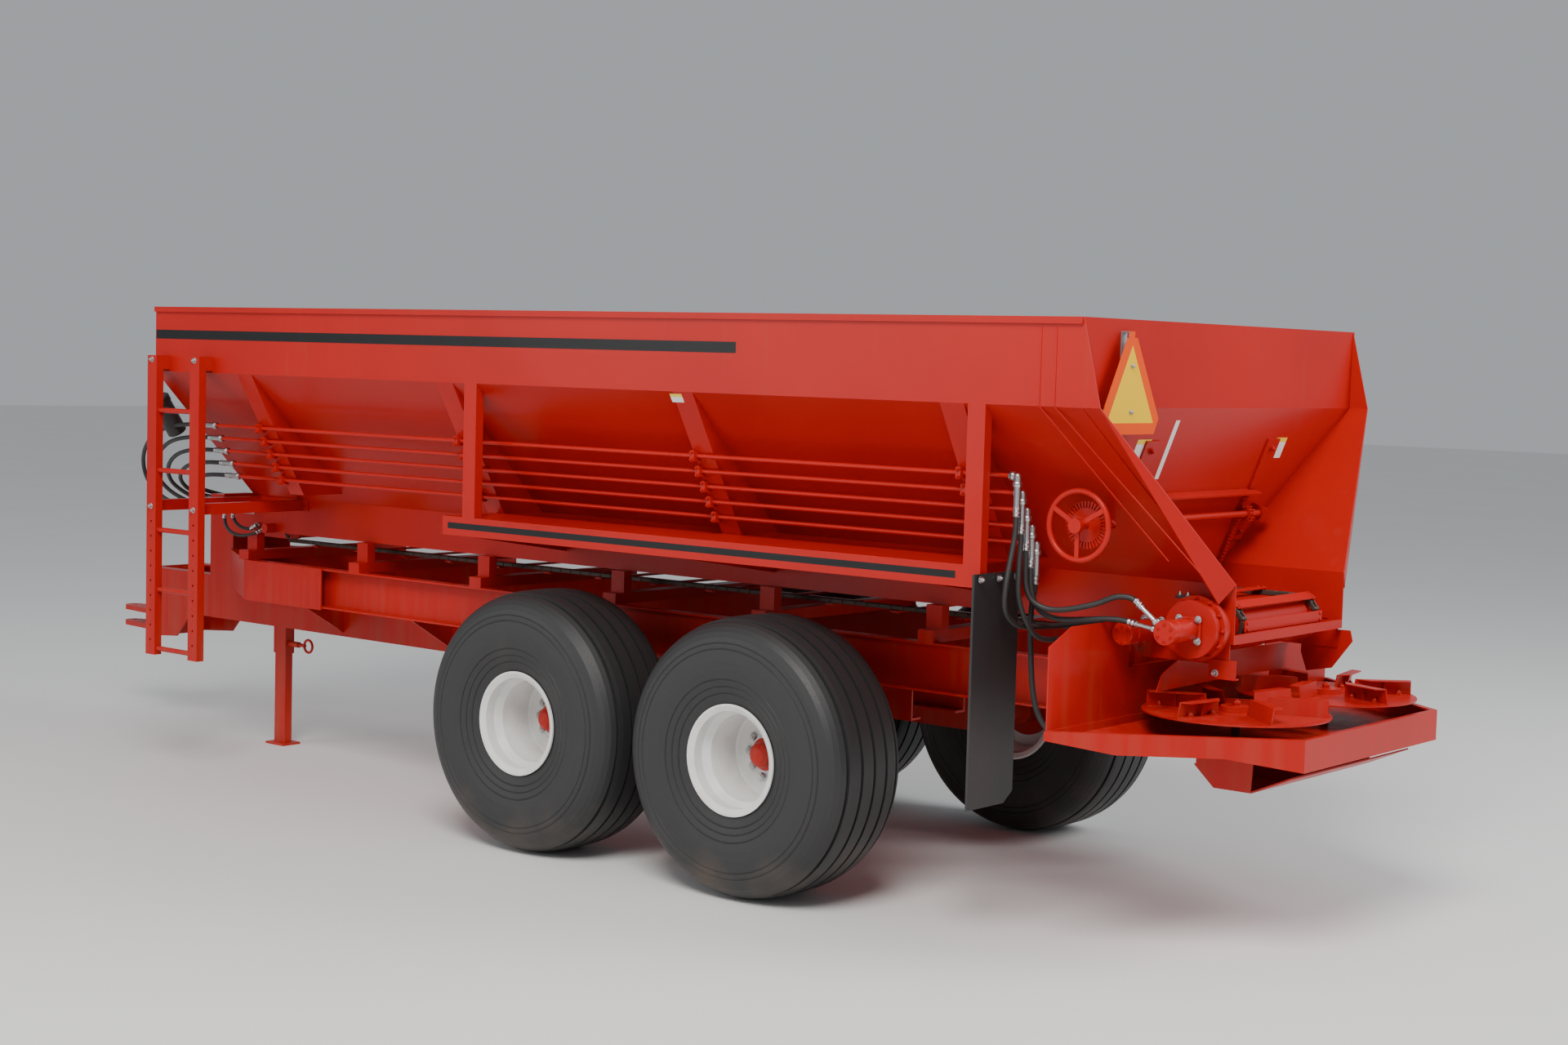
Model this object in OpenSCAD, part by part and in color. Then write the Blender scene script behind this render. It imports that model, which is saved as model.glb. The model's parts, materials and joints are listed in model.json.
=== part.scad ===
/* [Hopper] */
// Front wall of the hopper, ahead of the point midway between the axles
hopper_front_x = 3445; // [3200:1:3700]
// Length of the hopper along its top edge
hopper_len = 5573; // [5300:1:5700]
// Half of the hopper's outside width at the top
hopper_half_w = 1082; // [1040:1:1130]
// Height of the sill's lower edge above the rails
sill_lift = 150; // [140:1:180]
// Height of the upright sill
sill_h = 190; // [170:1:210]
// Rise of the sloped sides from the sill to the bend
slope_h = 655; // [600:1:700]
// Height of the upright sheets above the bend
upper_h = 328; // [290:1:360]
// Half of the outside width over the sills
sill_half_w = 450; // [435:1:470]
// Thickness of the hopper sheet
sheet_t = 5; // [3:0.5:8]
// Height of the folded cap along the top edge
cap_h = 26; // [18:1:36]
// Width of the folded cap, outward from the wall's inner face
cap_w = 16; // [12:1:22]
// Lean of the rear wall below the bend, in degrees
end_lean = 21; // [18:0.5:24]
// Reach of the side sheets past the rear wall, at the bend
wing_bend = 82; // [60:1:100]
// Reach of the side sheets past the rear wall, at the sill
wing_sill = 312; // [290:1:330]
// Width of the outward flange at the foot of each wing
wing_flange_w = 100; // [80:1:115]
// Height of the discharge opening above the sill's upper edge
mouth_h = 250; // [230:1:270]
// Thickness of the strip along each wing, where the rear wall meets the side
strip_t = 3; // [2:1:5]
// Width of that strip
strip_w = 85; // [70:1:100]

/* [Slope ribs] */
// Width of each rib along the hopper
rib_w = 110; // [90:1:130]
// Distance between neighbouring ribs
rib_gap = 1455; // [1420:1:1470]
// Centre of the foremost rib
rib_front_x = 2717; // [2690:1:2740]
// Centre of the rearmost rib, behind the point midway between the axles
rib_rear = 1557; // [1540:1:1570]
// Plate thickness of the ribs
rib_t = 5; // [4:1:8]
// Distance of the rib's foot from the middle of the hopper
rib_foot_y = 745; // [720:1:770]

/* [Decks] */
// Front end of each deck over the wheels
deck_front_x = 1255; // [1220:1:1300]
// Length of each deck
deck_len = 2888; // [2860:1:2900]
// Height of the deck's walking surface above the sill's upper edge
deck_rise = 50; // [40:1:60]
// Height of the deck's folded edge
deck_edge_h = 85; // [70:1:95]
// Plate thickness of the decks
deck_t = 5; // [4:1:8]
// Width of the deck posts along the hopper
post_w = 80; // [70:1:90]
// Depth of the deck posts across the hopper
post_d = 45; // [40:1:60]
// Distance of the foremost deck post from the deck's front end
post_back = 129; // [110:1:150]
// Number of brackets below each deck
bracket_count = 3; // [3:1:5]
// Distance of the end brackets from the deck's ends
bracket_inset = 160; // [120:10:200]

/* [Mudflaps] */
// Reach of the mudflap past the deck's edge
flap_out = 50; // [30:1:60]
// Width of each rubber mudflap
flap_w = 300; // [280:1:320]
// Height of each rubber mudflap
flap_h = 890; // [860:1:900]
// Thickness of the rubber
flap_t = 10; // [8:1:14]
// Width that the mudflap's inner lower corner is cut back by
flap_cut = 60; // [40:1:80]

/* [Wheels] */
// Distance between the two axles
axle_gap = 1232; // [1220:1:1300]
// Outside radius of the tyres
tyre_r = 576; // [560:1:590]
// Width of the tyres
tyre_w = 480; // [470:1:500]
// Radius of the tyre at its widest
tyre_belly_r = 405; // [380:1:430]
// Distance of each tyre's middle from the machine's middle
tyre_y = 1005; // [995:1:1020]
// Radius of the rim's outer lip
rim_r = 228; // [222:1:234]
// Width over the rim's lips
rim_w = 424; // [400:1:430]
// Radius of the circle of wheel nuts
nut_circle_r = 102; // [98:1:110]
// Radius of the hub's barrel
hub_r = 68; // [62:1:74]
// Radius of each wheel spindle
spindle_r = 32; // [28:1:36]
// Running clearance between spindle and hub
spindle_gap = 0.1; // [0.05:0.05:0.3]

/* [Frame] */
// Height of the main rails
rail_h = 205; // [190:1:215]
// Height of the rails' lower edge above the ground
rail_z = 845; // [835:1:860]
// Distance of the rail's flange tips from the machine's middle
rail_half_w = 550; // [535:1:565]
// Width of the rail's flanges
rail_flange_w = 58; // [50:1:65]
// Plate thickness of the rails
rail_t = 9; // [7:1:12]
// Front corner of the rails, where they turn in to the tongue
rail_front_x = 3385; // [3350:1:3420]
// Where the turned-in rails meet the tongue
rail_meet_x = 3980; // [3950:1:4000]
// Length of the closing plate on the front of each rail
rail_box_len = 635; // [600:1:660]

/* [Tongue] */
// Front face of the tongue
tongue_front_x = 4730; // [4700:1:4760]
// Length of the tongue's two channels
tongue_len = 5500; // [5400:1:5600]
// Half of the tongue's width
tongue_half_w = 200; // [190:1:215]
// Height by which the tongue stands up between the rails
tongue_lap = 45; // [35:1:60]
// Height of the tongue's channels
tongue_h = 240; // [230:1:250]
// Width of the tongue's flanges
tongue_flange_w = 70; // [60:1:76]
// Plate thickness of the tongue's channels
tongue_t = 10; // [8:1:12]
// Thickness of the hitch plate
hitch_plate_t = 20; // [16:1:25]
// Reach of the hitch plate below the tongue
hitch_drop = 160; // [150:1:170]
// Height of the clevis above the hitch plate's lower edge
clevis_rise = 70; // [60:1:85]
// Width of the clevis's base plate
clevis_w = 220; // [200:2:240]
// Thickness of the clevis's base plate
clevis_t = 25; // [20:1:30]
// Diameter of the hitch plate's bolt holes
hitch_hole_d = 22; // [18:1:26]
// Distance between neighbouring bolt holes, up the plate
hitch_hole_gap = 80; // [75:1:82]
// Distance between the two rows of bolt holes
hitch_row_gap = 300; // [280:2:320]
// Reach of the clevis pin ahead of the hitch plate
clevis_reach = 430; // [410:1:440]
// Diameter of the clevis pin's bore
clevis_bore = 34; // [28:1:40]
// Thickness of each clevis jaw
jaw_t = 28; // [25:1:32]
// Gap between the clevis jaws
jaw_gap = 64; // [58:1:70]
// Radius of the clevis jaws' ends
jaw_r = 55; // [48:1:60]

/* [Parking jack] */
// Place of the jack's middle ahead of the point midway between the axles
jack_x = 3540; // [3530:1:3560]
// Place of the jack's middle left of the machine's middle
jack_y = 165; // [150:1:168]
// Length of the sleeve's section along the machine
sleeve_l = 102; // [96:1:108]
// Width of the sleeve's section across the machine
sleeve_w = 60; // [56:1:64]
// Wall of the sleeve
sleeve_t = 6; // [5:0.5:7]
// Reach of the sleeve below the tongue
sleeve_drop = 145; // [135:1:155]
// Reach of the sleeve above the tongue
sleeve_rise = 40; // [30:1:60]
// Clearance between leg and sleeve
leg_gap = 0.3; // [0.2:0.1:0.8]
// Length of the leg
leg_len = 800; // [760:1:820]
// Wall of the leg
leg_t = 6; // [5:0.5:8]
// Length of the leg's foot plate along the machine
foot_l = 150; // [130:2:170]
// Width of the leg's foot plate across the machine
foot_w = 120; // [100:2:140]
// Thickness of the foot plate
foot_t = 12; // [10:1:16]
// Diameter of the locking pin
lock_pin_d = 20; // [16:1:24]
// Clearance round the locking pin
lock_gap = 0.5; // [0.3:0.1:0.8]

/* [Running gear] */
// Height of the walking beams
beam_h = 150; // [140:1:160]
// Width of the walking beams
beam_w = 90; // [80:1:95]
// Clearance between a walking beam and the rail beside it
beam_gap = 12; // [10:1:20]
// Radius of the cross tube that carries the beams
pivot_r = 57; // [50:1:62]
// Wall of the cross tube
pivot_t = 12; // [8:1:14]
// Height of the cross tube's middle above the wheels' middles
pivot_rise = 64; // [56:1:72]

/* [Conveyor] */
// Place of the drive shaft behind the point midway between the axles
drive_back = 2320; // [2310:1:2330]
// Height of the drive shaft's middle above the sill's lower edge
drive_rise = 22; // [15:1:30]
// Distance between the drive shaft and the front shaft
conveyor_len = 5600; // [5560:1:5620]
// Radius of the chain's middle line on its sprockets
sprocket_r = 75; // [72:1:78]
// Distance of each chain strand from the machine's middle
strand_y = 300; // [280:1:310]
// Thickness of the chain links
link_h = 20; // [16:1:22]
// Width of each chain strand
link_w = 36; // [30:1:40]
// Number of crossbars on one run of the chain
bars_per_run = 16; // [12:1:20]
// Width of each crossbar
bar_w = 44; // [36:1:50]
// Thickness of each crossbar
bar_h = 10; // [8:1:12]
// Seat clearance between a crossbar and the chain's links
bar_gap = 0.3; // [0.1:0.1:0.5]
// Radius of the conveyor shafts
shaft_r = 25; // [22:1:28]
// Radius of the drum between the two strands
drum_r = 60; // [50:1:62]
// Radius of the gearcase
gearcase_r = 110; // [100:1:115]
// Width of the gearcase
gearcase_w = 120; // [110:1:130]
// Radius of the gearcase's bolted flange
flange_r = 125; // [120:1:130]
// Radius of the hydraulic motors that drive the conveyor
drive_motor_r = 45; // [42:1:48]
// Length of the motor on the gearcase
drive_motor_len = 190; // [170:5:200]
// Length of the second motor
second_motor_len = 250; // [230:5:260]

/* [Metering gate] */
// Half of the gate's width
gate_half_w = 426; // [410:1:430]
// Height of the gate along the rear wall
gate_h = 400; // [380:1:410]
// Thickness of the gate
gate_t = 6; // [5:1:8]
// Clearance between the gate and the rear wall
gate_gap = 0.5; // [0.3:0.1:1]
// Pitch of the rack teeth
tooth_pitch = 16; // [15:1:17]
// Number of teeth on each pinion
pinion_teeth = 12; // [11:1:13]
// Height of the rack and pinion teeth
tooth_h = 9; // [7:0.5:10]
// Width of the racks and pinions
rack_w = 26; // [22:1:30]
// Height of the cross shaft above the sill's upper edge
cross_rise = 214; // [205:1:225]
// Radius of the cross shaft
cross_r = 14; // [12:1:16]
// Clearance of the cross shaft in its bearings
bearing_gap = 0.6; // [0.4:0.1:1]
// Clearance between the guides and the rear wall
guide_gap = 0.1; // [0.1:0.1:0.5]
// Distance of the handwheel from the sloped side beside it
handwheel_out = 228.5; // [215:0.5:240]
// Radius of the handwheel's rim
handwheel_r = 140; // [130:1:150]
// Radius of the handwheel rim's section
handwheel_rod_r = 11; // [9:1:13]
// Radius of the slotted locking disc
lock_disc_r = 90; // [80:1:96]
// Number of slots in the locking disc
slot_count = 36; // [24:1:40]
// Length of each slot
slot_len = 26; // [20:1:30]
// Width of each slot
slot_w = 5; // [4:0.5:7]

/* [Spinner] */
// Place of the disc centres behind the point midway between the axles
disc_back = 2420; // [2410:1:2430]
// Distance of each disc's centre from the machine's middle
disc_y = 372; // [368:1:376]
// Radius of the discs
disc_r = 357; // [350:1:362]
// Height of the discs' upper face above the tray's upper edge
disc_rise = 42; // [36:1:50]
// Thickness of the discs
disc_t = 6; // [5:1:8]
// Number of blades on each disc
blade_count = 6; // [4:1:6]
// Height of the blades
blade_h = 62; // [50:1:70]
// Distance from the disc's middle to the inner end of a blade
blade_in_r = 105; // [95:1:120]
// Width of a blade's upper flange
blade_top_w = 44; // [36:1:50]
// Width of a blade's lower flange
blade_foot_w = 30; // [24:1:36]
// Lean of a blade's web
blade_lean = 8; // [4:1:14]
// Plate thickness of the blades
blade_t = 4; // [3:0.5:5]
// Half of the tray's width at its front
tray_half_w = 1130; // [1110:1:1150]
// Half of the tray's width along its rear lip
tray_rear_half_w = 569; // [550:1:590]
// Front edge of the tray behind the point midway between the axles
tray_front = 2050; // [2045:1:2060]
// Depth of the tray from its front edge to its rear lip
tray_len = 760; // [750:1:775]
// Height of the tray's upper edge above the rails' lower edge
tray_rise = 17; // [10:1:25]
// Width of the tray's inward rim
tray_rim_w = 22; // [15:1:30]
// Height of the tray's rear lip
tray_rear_h = 121; // [110:1:130]
// Height of the tray's edge at its front corners
tray_front_h = 34; // [28:1:44]
// Plate thickness of the tray
tray_t = 6; // [4:1:8]
// Radius of the disc motors
motor_r = 44; // [40:1:48]
// Height of the disc motors
motor_h = 115; // [100:1:120]
// Radius of the disc motors' shafts
motor_shaft_r = 16; // [13:1:18]
// Half of the width of the guard below the motors
guard_half_w = 500; // [470:1:520]
// Reach of the guard below the tray's flat floor
guard_drop = 159; // [150:1:165]
// Height of the upright shield's upper edge above the tray
shield_h = 373; // [360:1:385]

/* [Ladder] */
// Front face of the ladder's foremost rail
ladder_front_x = 3400; // [3390:1:3430]
// Width over the two ladder rails
ladder_w = 430; // [400:1:450]
// Distance of the ladder's outer face from the hopper's side
ladder_out = 80; // [70:1:95]
// Face width of each ladder rail
ladder_rail_w = 76; // [68:1:84]
// Depth of each ladder rail
ladder_rail_d = 42; // [36:1:48]
// Length of the ladder rails
ladder_len = 1529; // [1500:1:1540]
// Reach of the ladder above the hopper's bend
ladder_over = 80; // [60:1:120]
// Height of the lowest rung above the rails' lower ends
rung_rise = 32; // [25:1:45]
// Spacing of the rungs
rung_gap = 304.8; // [300:0.1:310]
// Number of rungs
rung_count = 5; // [4:1:5]
// Radius of each rung
rung_r = 13; // [11:1:15]
// Leg of the two angle braces that hold the ladder off the sill
brace_leg = 55; // [45:1:65]
// Plate thickness of the braces
brace_t = 6; // [5:1:8]
// Diameter of the adjusting holes in the lower half of each rail
adjust_d = 13; // [10:1:16]
// Distance between the adjusting holes
adjust_gap = 76; // [70:1:82]

/* [Front stand] */
// Reach of the stand's beams ahead of the hopper
stand_reach = 715; // [690:5:740]
// Length of the stand's upright along the machine
stand_len = 205; // [190:5:220]
// Height of the stand's beams
stand_beam_h = 115; // [100:1:130]
// Height of the beams' lower edge above the tongue
stand_rise = 250; // [235:1:260]
// Width of the beams
stand_beam_w = 60; // [50:1:70]
// Plate thickness of the stand
stand_t = 8; // [6:1:10]

/* [Hydraulic lines] */
// Radius of each steel tube
tube_r = 9; // [7:0.5:11]
// Distance of the uppermost tube below the hopper's bend
tube_fall = 269; // [260:1:280]
// Drop from each tube to the next
tube_drop = 65.5; // [63:0.5:67]
// Number of tubes
tube_count = 5; // [4:1:5]
// Front end of the tubes
tube_front_x = 3110; // [3080:1:3140]
// Length of the tubes
tube_len = 4850; // [4800:1:4880]
// Clearance of the tubes from the ribs they pass
tube_gap = 4; // [3:0.5:6]
// Diameter of the large hoses
hose_d = 22; // [18:1:25]
// Diameter of the small hoses
small_hose_d = 18; // [14:1:20]
// Radius of the steel collars on the hoses' ends
collar_r = 13; // [12:0.5:15]

/* [Hidden] */
$fn = 48;

// The origin lies midway between the clevis and the tray's lip
nose_x = tongue_front_x + clevis_reach + jaw_r;
tail_x = -(tray_front + tray_len);
frame_x = -(nose_x + tail_x) / 2;

// Heights of the hopper, worked out from the rails upward
sill_bottom_z = rail_z + rail_h + sill_lift;
sill_top_z = sill_bottom_z + sill_h;
bend_z = sill_top_z + slope_h;
hopper_top_z = bend_z + upper_h;
deck_z = sill_top_z + deck_rise;
mouth_z = sill_top_z + mouth_h;
cross_z = sill_top_z + cross_rise;
drive_z = sill_bottom_z + drive_rise;
// Heights of what hangs on the rails
tongue_z = rail_z + tongue_lap - tongue_h;
hitch_plate_z = tongue_z - hitch_drop;
clevis_z = hitch_plate_z + clevis_rise;
sleeve_z = tongue_z - sleeve_drop;
sleeve_top = tongue_z + tongue_h + sleeve_rise;
pivot_z = tyre_r + pivot_rise;
tray_z = rail_z + tray_rise;
disc_z = tray_z + disc_rise;
shield_z = tray_z + shield_h;
ladder_y = hopper_half_w + ladder_out;
ladder_z = bend_z + ladder_over - ladder_len;
rung_z = ladder_z + rung_rise;
tube_top_z = bend_z - tube_fall;
flap_z = deck_z - 30;
// The least gap that keeps two seated solids apart
seat_gap = 0.2;

hopper_rear_x = hopper_front_x - hopper_len;
slope_run = (hopper_half_w - sill_half_w) / (bend_z - sill_top_z);
end_run = tan(end_lean);
front_axle_x = axle_gap / 2;
rear_axle_x = -axle_gap / 2;
drive_x = -drive_back;
idler_x = drive_x + conveyor_len;
disc_x = -disc_back;
tray_front_x = -tray_front;
tray_rear_x = tray_front_x - tray_len;
rail_rear_x = tray_front_x + tray_t;
rail_box_x = rail_front_x - rail_box_len;
deck_rear_x = deck_front_x - deck_len;
post_front_x = deck_front_x - post_back;
tongue_rear_x = tongue_front_x - tongue_len;
rib_xs = [rib_front_x, rib_front_x - rib_gap, rib_front_x - 2 * rib_gap, -rib_rear];
beam_y = rail_half_w + beam_gap + beam_w / 2;
floor_z = drive_z + sprocket_r - link_h / 2;
pinion_r = tooth_pitch * pinion_teeth / (2 * PI);
rack_base = 8;
tooth_clear = 1;
// Distance of the cross shaft from the rear wall's outer face, square to the wall
cross_off = gate_gap + gate_t + rack_base + tooth_h / 2 + pinion_r + tooth_clear;
gate_travel = 250;
gate_foot_z = floor_z + 40;
// Height up the gate at which the pinions mesh, and how far the nearest rack tooth lies above it
mesh_s = (cross_z + cross_off * sin(end_lean) - gate_foot_z) / cos(end_lean);
tooth_shift = tooth_pitch * (round(mesh_s / tooth_pitch - 0.5) + 0.5) - mesh_s;

// Outer face of a sloped side at height z
function slope_y(z) = sill_half_w + (z - sill_top_z) * slope_run;
// Outer face of the rear wall at height z, below the bend
function end_x(z) = hopper_rear_x + (bend_z - z) * end_run;
// Cross shaft's place, found by going out from the rear wall at the height of its foot
cross_x = end_x(cross_z) - cross_off / cos(end_lean);
handwheel_y = slope_y(cross_z) + handwheel_out;
// Room round a shaft where it passes through a sheet
shaft_room = 1;
cross_room = 6;

module at_frame() translate([frame_x, 0, 0]) children();
module both_sides() { children(); mirror([0, 1, 0]) children(); }
module left_or_right(side) { if (side > 0) children(); else mirror([0, 1, 0]) children(); }
// A flat shape in the side view, X forward and Z up, given thickness from y0 to y1
module side_plate(y0, y1) translate([0, y1, 0]) rotate([90, 0, 0]) linear_extrude(y1 - y0) children();
// A flat shape in the end view, Y left and Z up, given thickness from x0 to x1
module end_plate(x0, x1) translate([x0, 0, 0]) rotate([90, 0, 90]) linear_extrude(x1 - x0) children();
module block(x0, x1, y0, y1, z0, z1) translate([x0, y0, z0]) cube([x1 - x0, y1 - y0, z1 - z0]);
// A round bar along Y
module bar_y(x, z, r, y0, y1) translate([x, y0, z]) rotate([-90, 0, 0]) cylinder(r = r, h = y1 - y0);
// A round bar along X
module bar_x(y, z, r, x0, x1) translate([x0, y, z]) rotate([0, 90, 0]) cylinder(r = r, h = x1 - x0);
// A round bar along Z
module bar_z(x, y, r, z0, z1) translate([x, y, z0]) cylinder(r = r, h = z1 - z0);
// Places its children on the rear wall: X across to the left, Y up the wall, Z out of the wall
module on_rear_wall(z) translate([end_x(z), 0, z]) rotate([0, -end_lean, 0]) rotate([90, 0, -90]) children();

// Left half of the hopper's section, inside the sheet by the distance inset
module half_section(inset, bottom) polygon([
  [0, hopper_top_z],
  [hopper_half_w - inset, hopper_top_z],
  [hopper_half_w - inset, bend_z + inset * 0.4],
  [sill_half_w - inset, sill_top_z + inset * 0.4],
  [sill_half_w - inset, bottom],
  [0, bottom]
]);

// Outline of a side sheet in the side view, with the wing behind the rear wall
module side_outline() polygon([
  [hopper_front_x, sill_bottom_z],
  [hopper_front_x, hopper_top_z],
  [hopper_rear_x, hopper_top_z],
  [hopper_rear_x - wing_bend, bend_z],
  [hopper_rear_x - wing_sill, sill_top_z],
  [hopper_rear_x - wing_sill, sill_bottom_z]
]);

module hopper_side(side) left_or_right(side) {
  difference() {
    intersection() {
      end_plate(hopper_rear_x - wing_sill, hopper_front_x) difference() {
        half_section(0, sill_bottom_z);
        half_section(sheet_t, sill_bottom_z - 1);
      }
      side_plate(0, hopper_half_w + 1) side_outline();
    }
    if (side > 0) bar_y(cross_x, cross_z, cross_r + cross_room, 0, hopper_half_w);
    for (x = [drive_x, idler_x]) bar_y(x, drive_z, shaft_r + shaft_room, 0, hopper_half_w);
  }
  block(hopper_rear_x, hopper_front_x, hopper_half_w, hopper_half_w + cap_w - sheet_t,
    hopper_top_z - cap_h, hopper_top_z);
  wing_flange();
  wing_strip();
}

// Strip along the wing's slope, level with its rear edge, where the rear wall is welded on
module wing_strip() intersection() {
  end_plate(hopper_rear_x - wing_sill, hopper_front_x) difference() {
    half_section(-strip_t, sill_top_z);
    half_section(1, sill_top_z - 1);
  }
  side_plate(0, hopper_half_w + strip_t + 1) polygon([
    [hopper_rear_x - wing_bend + strip_back, bend_z],
    [hopper_rear_x - wing_bend + strip_back + strip_w, bend_z],
    [hopper_rear_x - wing_sill + strip_back + strip_w, sill_top_z],
    [hopper_rear_x - wing_sill + strip_back, sill_top_z]
  ]);
}
strip_back = 75;

// Outward flange that widens down the rear edge of a wing
module wing_flange() {
  polyhedron(
    points = [
      [hopper_rear_x - wing_bend, hopper_half_w, bend_z],
      [hopper_rear_x - wing_sill, sill_half_w, sill_top_z],
      [hopper_rear_x - wing_sill + wing_flange_w * 0.3, sill_half_w + wing_flange_w * 0.72,
        sill_top_z - wing_flange_w * 0.69],
      [hopper_rear_x - wing_bend + sheet_t, hopper_half_w, bend_z],
      [hopper_rear_x - wing_sill + sheet_t, sill_half_w, sill_top_z],
      [hopper_rear_x - wing_sill + sheet_t + wing_flange_w * 0.3, sill_half_w + wing_flange_w * 0.72,
        sill_top_z - wing_flange_w * 0.69]
    ],
    faces = [[0, 1, 2], [5, 4, 3], [0, 3, 4, 1], [1, 4, 5, 2], [2, 5, 3, 0]]
  );
}

module hopper_side_left() color("firebrick") at_frame() hopper_side(1);
module hopper_side_right() color("firebrick") at_frame() hopper_side(-1);

module hopper_front_wall() color("firebrick") at_frame() {
  end_plate(hopper_front_x - sheet_t, hopper_front_x) both_sides_2d() half_section(sheet_t, floor_z + feed_h);
  block(hopper_front_x - cap_w, hopper_front_x - sheet_t, sheet_t - hopper_half_w, hopper_half_w - sheet_t,
    hopper_top_z - cap_h, hopper_top_z);
}
// Height of the gap under the front wall, through which the chain comes in
feed_h = 90;
module both_sides_2d() { children(); mirror([1, 0]) children(); }

module hopper_rear_wall() color("firebrick") at_frame() {
  intersection() {
    end_plate(hopper_rear_x, end_x(sill_top_z) + 2 * sheet_t) both_sides_2d() half_section(sheet_t, mouth_z);
    side_plate(-hopper_half_w, hopper_half_w) polygon([
      [hopper_rear_x, hopper_top_z],
      [hopper_rear_x + sheet_t, hopper_top_z],
      [hopper_rear_x + sheet_t, bend_z],
      [end_x(mouth_z) + sheet_t / cos(end_lean), mouth_z],
      [end_x(mouth_z), mouth_z],
      [hopper_rear_x, bend_z]
    ]);
  }
  intersection() {
    side_plate(-hopper_half_w, hopper_half_w) polygon([
      [end_x(mouth_z), mouth_z],
      [end_x(mouth_z) + sheet_t / cos(end_lean), mouth_z],
      [end_x(sill_top_z) + sheet_t / cos(end_lean), sill_top_z],
      [end_x(sill_top_z), sill_top_z]
    ]);
    difference() {
      end_plate(hopper_rear_x, end_x(sill_top_z) + 2 * sheet_t) both_sides_2d() half_section(sheet_t, sill_top_z);
      block(hopper_rear_x, end_x(sill_top_z) + 2 * sheet_t, -mouth_half_w, mouth_half_w, sill_top_z - 1, mouth_z);
    }
  }
  block(hopper_rear_x + sheet_t, hopper_rear_x + cap_w, sheet_t - hopper_half_w, hopper_half_w - sheet_t,
    hopper_top_z - cap_h, hopper_top_z);
}
// Lap of the gate over each edge of the discharge opening
gate_lap = 40;
mouth_half_w = gate_half_w - gate_lap;

module hopper_floor() color("firebrick") at_frame() {
  block(drive_x + sprocket_r + floor_back, idler_x - sprocket_r - floor_back, sheet_t - sill_half_w, sill_half_w - sheet_t,
    floor_z - sheet_t, floor_z);
  // Tail bar under the rear ends of the sills
  block(hopper_rear_x - wing_sill, hopper_rear_x - wing_sill + cap_w, -sill_half_w, sill_half_w,
    sill_bottom_z - tail_bar_h, sill_bottom_z);
}
floor_back = 40;
tail_bar_h = 35;

// One slope rib: a bent channel whose outer edge runs straighter down than the sheet behind it
module rib(x) {
  difference() {
    end_plate(x - rib_w / 2, x + rib_w / 2) polygon([
      [hopper_half_w, bend_z],
      [rib_foot_y, deck_z],
      [slope_y(deck_z), deck_z]
    ]);
    end_plate(x - rib_w / 2 + rib_t, x + rib_w / 2 - rib_t) polygon([
      [hopper_half_w - 30, bend_z - 20],
      [rib_foot_y - rib_t * 1.2, deck_z - 1],
      [slope_y(deck_z) - 10, deck_z - 1],
      [slope_y(bend_z - 60), bend_z - 60]
    ]);
  }
}
module ribs(side) left_or_right(side) for (x = rib_xs) rib(x);
module ribs_left() color("firebrick") at_frame() ribs(1);
module ribs_right() color("firebrick") at_frame() ribs(-1);

module deck(side) left_or_right(side) {
  block(deck_rear_x, deck_front_x, slope_y(deck_z), hopper_half_w, deck_z - deck_t, deck_z);
  block(deck_rear_x, deck_front_x, hopper_half_w - deck_t, hopper_half_w, deck_z - deck_edge_h, deck_z - deck_t);
  bracket_run = deck_len - 2 * bracket_inset - deck_t;
  for (i = [0:bracket_count - 1]) translate([deck_rear_x + bracket_inset + i * bracket_run / (bracket_count - 1), 0, 0])
    end_plate(0, deck_t) polygon([
      [slope_y(deck_z - deck_t), deck_z - deck_t],
      [hopper_half_w - deck_t, deck_z - deck_t],
      [hopper_half_w - deck_t, deck_z - deck_edge_h],
      [sill_half_w, sill_bottom_z + 60],
      [sill_half_w, sill_top_z]
    ]);
  post(post_front_x, deck_z);
  post(deck_rear_x, deck_z - deck_edge_h);
}
module deck_left() color("firebrick") at_frame() deck(1);
module deck_right() color("firebrick") at_frame() deck(-1);

// An upright channel, its web outward, standing on the deck and reaching the bend
module post(x0, z0) {
  difference() {
    block(x0 - post_w, x0, hopper_half_w - post_d, hopper_half_w, z0, bend_z);
    block(x0 - post_w + 5, x0 - 5, hopper_half_w - post_d - 1, hopper_half_w - 5, z0 - 1, bend_z + 1);
    end_plate(x0 - post_w - 1, x0 + 1) polygon([
      [0, bend_z], [hopper_half_w, bend_z], [slope_y(deck_z), deck_z], [0, deck_z]
    ]);
  }
}

module mudflap(side) left_or_right(side)
  translate([deck_rear_x - post_w, 0, 0]) rotate([90, 0, 90]) mirror([0, 0, 1]) linear_extrude(flap_t) polygon([
    [hopper_half_w + flap_out - flap_w, flap_z],
    [hopper_half_w + flap_out, flap_z],
    [hopper_half_w + flap_out, flap_z - flap_h],
    [hopper_half_w + flap_out + flap_cut - flap_w, flap_z - flap_h],
    [hopper_half_w + flap_out - flap_w, flap_z - flap_h + flap_cut * 0.7]
  ]);
module mudflap_left() color("dimgray") at_frame() mudflap(1);
module mudflap_right() color("dimgray") at_frame() mudflap(-1);

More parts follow.
